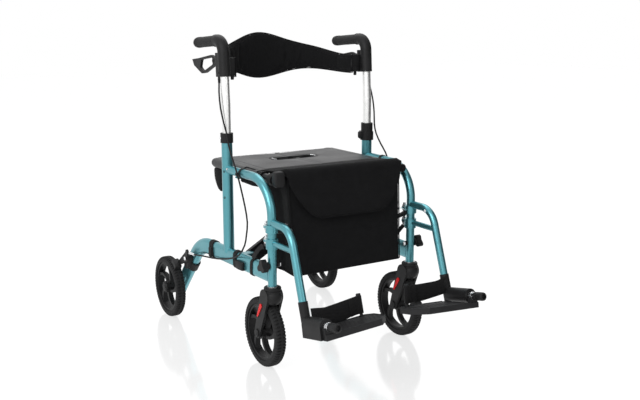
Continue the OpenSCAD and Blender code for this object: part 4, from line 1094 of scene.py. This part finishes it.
class CHAIR_OT_wheels(ChairOperator, bpy.types.Operator):
    """Makes the treaded tyres, the hub and axle caps and the castor boots"""

    bl_idname = "chair.wheels"
    bl_label = "Wheels"

    def execute(self, context):
        bars = context.scene.chair_sizes.tread_bars
        profile = [(-w, r, g) for w, r, g in TYRE_HALF] + list(reversed(TYRE_HALF[:-1])) + list(TYRE_INSIDE)
        for side, sign in SIDES:
            self.tyre(f"rear_tyre_{side}", sign, REAR_HUB, f"rear_wheel_{side}", bars, profile)
            self.tyre(f"castor_tyre_{side}", sign, CASTOR_HUB, f"castor_wheel_{side}", bars, profile)
            cap = Shape(sign)
            cap.lathe(HUB_CAP, REAR_HUB + 15.2 * X, X, 36)
            cap.lathe(HUB_RING, REAR_HUB - 15.1 * X, X, 32)
            cap.make(f"hub_cap_{side}", "black_plastic", f"rear_wheel_{side}")
            pins = Shape(sign)
            for way in (-X, X):
                pins.lathe(AXLE_CAP, CASTOR_HUB + 25 * way, way)
            pins.make(f"axle_caps_{side}", "black_plastic", f"castor_{side}")
            boot = Shape(sign)
            boot.lathe(BOOT, BOOT_AT, Z, 36)
            boot.make(f"castor_boot_{side}", "black_plastic", f"castor_{side}")
        return {"FINISHED"}

    @staticmethod
    def tyre(name, sign, hub, body, bars, profile):
        """A tyre with cuts between its tread bars, which lean back towards the shoulders."""
        depth, narrowing, lean = 2.6, 0.035, 0.028 / 15
        shape = Shape(sign)
        rings = []
        for k in range(bars):
            for part, cut in ((0, 0), (0.54, 0), (0.6, 1), (0.94, 1)):
                ring = []
                for w, r, g in profile:
                    a = 2 * pi * (k + part) / bars + lean * abs(w)
                    rr = r - depth * cut * g
                    ring.append(hub + Vector((w * (1 - narrowing * cut * g), rr * sin(a), -rr * cos(a))))
                rings.append(ring)
        shape.loft(rings, round_trip=True)
        tyre = shape.make(f"tread_{name}", "tyre", body, sharp=28, weld=False)
        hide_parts(name)


class CHAIR_OT_footrests(ChairOperator, bpy.types.Operator):
    """Makes the hinge pins with their caps, the plates' studs and rims and the hanger fittings"""

    bl_idname = "chair.footrests"
    bl_label = "Footrests"

    def execute(self, context):
        pitch = context.scene.chair_sizes.plate_studs / MM
        for side, sign in SIDES:
            pin = Shape(sign, FOOT)
            pin.lathe(HINGE_PIN, (0, 0, 0), Y, 32)
            steel = pin.make(f"hinge_pin_{side}", "steel_pin", f"hanger_{side}")
            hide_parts(f"foot_pin_{side}")
            cap = Shape(sign, FOOT)
            cap.lathe(PIN_NECK, (0, 0, 0), Y, 42)
            cap.lathe(PIN_KNOB, (0, 0, 0), Y, 84, lobes=14, lobe_depth=0.35)
            cap.make(f"pin_cap_{side}", "black_plastic", f"hanger_{side}")
            sleeve = Shape(sign, FOOT)
            sleeve.lathe(HINGE_SLEEVE, (0, 0, 0), Y, 40)
            sleeve.make(f"hinge_sleeve_{side}", "steel_pin", f"footplate_{side}")
            studs = Shape(sign, PLATE)
            for i in range(int(92 / pitch) + 1):
                y = -106 + i * pitch
                for j in range(15):
                    x = -184 + j * pitch + (i % 2) * pitch / 2
                    if self.on_plate(x, y):
                        studs.lathe(STUD, (x, y, PLATE_TOP), Z, 10)
            studs.make(f"plate_studs_{side}", "grey_plastic", f"footplate_{side}")
            lip = Shape(sign, PLATE)
            outline = [(-30, -9.5), (-173.5, -9.5), (-192.5, -29.5), (-192.5, -79.5), (-159.5, -112.5), (-22, -112.5)]
            lip.tube([(x, y, PLATE_TOP + 0.4) for x, y in outline], 1.4)
            lip.make(f"plate_rim_{side}", "grey_plastic", f"footplate_{side}")
            self.hanger_fittings(side, sign)
        return {"FINISHED"}

    @staticmethod
    def on_plate(x, y):
        """Whether a stud fits there: inside the plate's cut corners and clear of the strap post."""
        front_cut = (x + 194) / 35 + (y + 114) / 35 < 1.25
        back_cut = (x + 194) / 22 + (-8 - y) / 22 < 1.35
        return x <= -30 and not front_cut and not back_cut and hypot(x - POST.x, y - POST.y) >= 12

    @staticmethod
    def hanger_fittings(side, sign):
        nuts = Shape(sign)
        for z in (407, 368):
            ends = [(Vector((LEG.x, LEG.y + 31.4, z)) + 3 * way, way) for way in (Z, -Z)]
            for at, way in ends:
                nuts.hex_head(at, way, 6, 6)
            for at, way in ends:
                nuts.lathe(BOLT_END, at, way, 16)
        nuts.screw((LEG.x - 11, -263, 417), (-1, 0, -0.3), 5, 4)
        nuts.make(f"hanger_bolts_{side}", "steel_pin", f"hanger_{side}")
        latch = Shape(sign)
        at = Vector((LEG.x - 17.6, LEG.y, 398))
        rings = []
        for t, w, h in ((0, 7, 6), (3, 8, 7), (16, 7, 5.5), (30, 8.5, 4.5), (36, 7.5, 3.6), (38, 5, 2)):
            middle = at + Vector((-t, 2, -0.28 * t))
            rings.append([middle + Vector((0, w * c, h * d)) for c, d in squared(15, LATCH_CORNER)])
        latch.loft(rings)
        latch.make(f"hanger_latch_{side}", "black_plastic", f"hanger_{side}")
        spring = Shape(sign)
        bends = ((2, 2, 9), (-6, 2, 11), (-16, 2, 16), (-26, 2, 17), (-31, 2, 14))
        spring.band(smooth_line([at + Vector(p) for p in bends], 5), 5, 0.9, Z)
        spring.make(f"hanger_latch_spring_{side}", "steel_pin", f"hanger_{side}")


class CHAIR_OT_straps(ChairOperator, bpy.types.Operator):
    """Makes the side rails' straps, buckles and cable clips and the seat's side bands and rear flaps"""

    bl_idname = "chair.straps"
    bl_label = "Straps"

    @staticmethod
    def rail_band(shape, s0, s1, inner, outer, wave=0):
        """Band round the oval side rail between two places on it."""
        def oval(s, grow):
            r = RAIL_R + grow
            ring = []
            for c, d in squared(40, 1):
                flank = copysign(RAIL_R, d) * min(1, abs(d) * 3)
                ring.append(on_rail(s + wave * d, r * c, RAIL_Z + r * d + flank))
            return ring

        edge = min(1, (outer - inner) / 3)
        rows = ((s0, inner), (s0, outer - edge), (s0 + edge, outer),
                (s1 - edge, outer), (s1, outer - edge), (s1, inner))
        shape.loft([oval(s, grow) for s, grow in rows], round_trip=True)

    def execute(self, context):
        for side, sign in SIDES:
            body = f"frame_{side}"
            webs = Shape(sign)
            self.rail_band(webs, 322, 346, 0.3, 2.6, 3)
            self.rail_band(webs, 178, 197, 0.3, 2.8)
            self.rail_band(webs, 86, 99, 0.3, 2.4, -4)
            strap = [on_rail(*p) for p in ((92, 7, 303), (80, 9, 316), (62, 9, 334), (46, 8, 347), (30, 8, 351))]
            webs.band(smooth_line(strap, 6), 7, 1.2, (0.9, -0.2, 0.1))
            webs.make(f"rail_webbing_{side}", "webbing", body)
            clip = Shape(sign)
            self.buckle(clip, 132, 171, 22, 259, 283)
            self.buckle(clip, 326, 342, 20.5, 257, 287)
            clip.make(f"rail_buckles_{side}", "black_plastic", body)
            ties = Shape(sign)
            ties.hoop(on_rail(-28 - LEG.y, 0, 537), 13.7, 5, 1, sides=10)
            ties.hoop(Vector((263, -30, 537)), 4.2, 4, 0.9, 20, 10)
            ties.make(f"cable_clip_{side}", "black_plastic", body)
            self.rear_flap(side, sign, "bag" if side == "right" else "brace_a")
            self.side_band(side, sign, "brace_b" if side == "right" else "brace_a")
        return {"FINISHED"}

    @staticmethod
    def buckle(shape, s0, s1, out, z0, z1):
        """Block on the rail's outer side, a little proud in the middle."""
        inner, mid, rings = 11.6, s1 - s0, []
        for s, g in ((s0, -3), (s0 + 3, 0), (s0 + mid * 0.45, 1), (s0 + mid * 0.55, 1), (s1 - 3, 0), (s1, -3)):
            far = out + g
            corners = ((inner, z0), (far - 2, z0), (far, z0 + 3), (far, z1 - 3), (far - 2, z1), (inner, z1))
            rings.append([on_rail(s, o, z) for o, z in corners])
        shape.loft(rings)

    @staticmethod
    def side_band(side, sign, body):
        """Cloth band that hangs below the seat rail beside the brace."""
        shape = Shape(sign)
        rings, parts = [], 18
        for k in range(parts + 1):
            y = -62 + 106 * k / parts
            low = 499 + 0.8 * sin(0.09 * y) + (3 if k in (0, parts) else 0)
            bow = 0.8 * sin(0.14 * y)
            section = ((211.4, 521), (213.4, 521), (214.2, 510), (214.4, low + 2),
                       (213.4, low), (212, low), (211.2, low + 2), (211.4, 510))
            rings.append([Vector((x + bow, y, z)) for x, z in section])
        shape.loft(rings)
        shape.make(f"seat_side_band_{side}", "bag_fabric", body, sharp=60)

    @staticmethod
    def rear_flap(side, sign, body):
        """Stiffened cloth flap that hangs from the seat rail's rear end."""
        shape = Shape(sign)
        rows = []
        for t in [k / 12 for k in range(13)]:
            rows.append((519 - 70 * t, 166 + 4 * t, 223 - 38 * max(0, (t - 0.2) / 0.8) ** 2.2))
        section = [(0, 0), (0.06, 3), (0.3, 4.2), (0.7, 4.2), (0.94, 3), (1, 0)]
        section += [(u, -o) for u, o in section[-2:0:-1]]
        rings = []
        for z, y0, y1 in rows:
            thin = 0.5 if z > 517 or z < 451 else 1
            rings.append([Vector((213 + o * thin, y0 + u * (y1 - y0), z)) for u, o in section])
        shape.loft(rings)
        flap = shape.make(f"seat_rear_flap_{side}", "bag_fabric", sharp=70)
        subdivide(flap)
        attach(flap, body)
        sewn = Shape(sign)
        sewn.stitches([(217.2, y1 - 6, z) for z, y0, y1 in rows[1:-1]], *REAR_STITCH, X)
        sewn.make(f"seat_rear_flap_stitching_{side}", "webbing", body)


class CHAIR_OT_fittings(ChairOperator, bpy.types.Operator):
    """Makes the black discs painted as the shade in the tube holes, the screws, grip rings, plugs, latch lever and
    brake cable ends
    """

    bl_idname = "chair.fittings"
    bl_label = "Fittings"

    def execute(self, context):
        for side, sign in SIDES:
            frame_body, handle = f"frame_{side}", f"handle_{side}"
            # Black discs where the upright's holes are: painted shade for the inside of each hole
            dark = Shape(sign)
            out = unit((0.9, -0.43, 0))
            for z in (455, 532):
                dark.lathe(HOLE_SHADE_DISC, UPRIGHT + out * 16 + z * Z, out, 18)
            dark.make(f"upright_hole_shade_{side}", "black_plastic", frame_body)
            bright = Shape(sign)
            bright.screw(on_rail(225, 12.6, 541), (1, 0, 0.2), 3.2, 2.2)
            out = unit((1, 0.25, 0))
            bright.screw(UPRIGHT + out * 18.4 + 628 * Z, out, 3.4, 2)
            bright.hex_head((LEG.x - 21.2, LEG.y, 304), -X, 5.4, 4.5)
            bright.make(f"frame_screws_{side}", "steel_pin", frame_body)
            shell = Shape(sign, LEAN)
            out = unit((0.98, 0.2, 0))
            shell.screw(UPRIGHT + out * 17.2 + 815 * Z, out, 4, 1.6)
            shell.place = None
            for way in (X, -X):
                shell.screw(LEVER_PIVOT + 9.2 * way, way, 4.6, 2)
            shell.lathe(CABLE_GUIDE, CABLE_TOP, (0.17, -0.24, -1), 18)
            shell.make(f"housing_screws_{side}", "black_plastic", handle)
            grip = UPRIGHT + GRIP_Z * Z
            collar = Shape(sign, LEAN)
            collar.lathe(GRIP_COLLAR, grip + 43 * Y, Y, 36)
            for back in (160, 153, 146):
                collar.lathe(GRIP_RING, grip + back * Y, Y, 36)
            collar.make(f"grip_rings_{side}", "grip_rubber", handle)
            plugs = Shape(sign)
            if side == "left":
                plugs.lathe(PLUG, SEAT_RAIL - 166 * Y, -Y, 30)
            else:
                plugs.loft(self.rail_block())
            plugs.lathe(PLUG, SEAT_RAIL + 222 * Y, Y, 30)
            plugs.make(f"seat_rail_plugs_{side}", "black_plastic", "bag" if side == "right" else "brace_a")
            brake = Shape(sign)
            brake.screw(BRAKE_PIVOT, X, 6, 3)
            brake.make(f"brake_pivot_{side}", "steel_pin", frame_body)
            if side == "left":
                self.latch_lever(sign, frame_body)
            ferrule = Shape(sign)
            ferrule.lathe(FERRULE, CABLE_END, CABLE_END - CABLE_BEFORE_END, 16)
            ferrule.make(f"cable_end_{side}", "steel_pin", frame_body)
        return {"FINISHED"}

    @staticmethod
    def rail_block():
        """Square block on the seat rail's front end."""
        rings = []
        for y, w, low, high in ((-164, 13.6, 524, 558), (-166, 15, 519, 560), (-178, 15.4, 517, 560.5),
                                (-184, 14.6, 518, 559.5), (-186, 12.4, 521, 556)):
            mid, half = (low + high) / 2, (high - low) / 2
            rings.append([Vector((212 + w * c, y, mid + half * d)) for c, d in squared(24, BLOCK_CORNER)])
        return rings

    @staticmethod
    def latch_lever(sign, body):
        """Short lever that stands inwards from the latch clamp."""
        lever = Shape(sign)
        rings = []
        for x, grow in ((232, 0), (220, 0), (217.6, -1), (216.4, -3)):
            w, h = 8 + grow, 11 + grow
            rings.append([Vector((x, UPRIGHT.y + w * c, 606 + h * d)) for c, d in squared(18, LATCH_CORNER)])
        lever.loft(rings)
        lever.make("latch_lever", "black_plastic", body)


class CHAIR_PT_panel(bpy.types.Panel):
    """Lists the chair's pieces, sizes and colours"""

    bl_idname = "CHAIR_PT_panel"
    bl_label = "Rollator Transport Chair"
    bl_space_type = "VIEW_3D"
    bl_region_type = "UI"
    bl_category = "Chair"

    def draw(self, context):
        for group in (context.scene.chair_finish, context.scene.chair_sizes, context.scene.chair_stage):
            box = self.layout.box()
            for name in group.__annotations__:
                box.prop(group, name)
        for step in STEPS:
            self.layout.operator(step.bl_idname)


STEPS = (CHAIR_OT_stage, CHAIR_OT_frame, CHAIR_OT_bag, CHAIR_OT_seat, CHAIR_OT_backrest, CHAIR_OT_heel_straps,
         CHAIR_OT_wheels, CHAIR_OT_footrests, CHAIR_OT_straps, CHAIR_OT_fittings)
GROUPS = (("chair_finish", ChairFinish), ("chair_sizes", ChairSizes), ("chair_stage", ChairStage))


def register():
    for name, group in GROUPS:
        bpy.utils.register_class(group)
        setattr(bpy.types.Scene, name, PointerProperty(type=group))
    for step in STEPS:
        bpy.utils.register_class(step)
    bpy.utils.register_class(CHAIR_PT_panel)


def unregister():
    bpy.utils.unregister_class(CHAIR_PT_panel)
    for step in reversed(STEPS):
        bpy.utils.unregister_class(step)
    for name, group in reversed(GROUPS):
        delattr(bpy.types.Scene, name)
        bpy.utils.unregister_class(group)


def main():
    register()
    for step in STEPS:
        group, name = step.bl_idname.split(".")
        getattr(getattr(bpy.ops, group), name)()


if __name__ == "__main__":
    main()
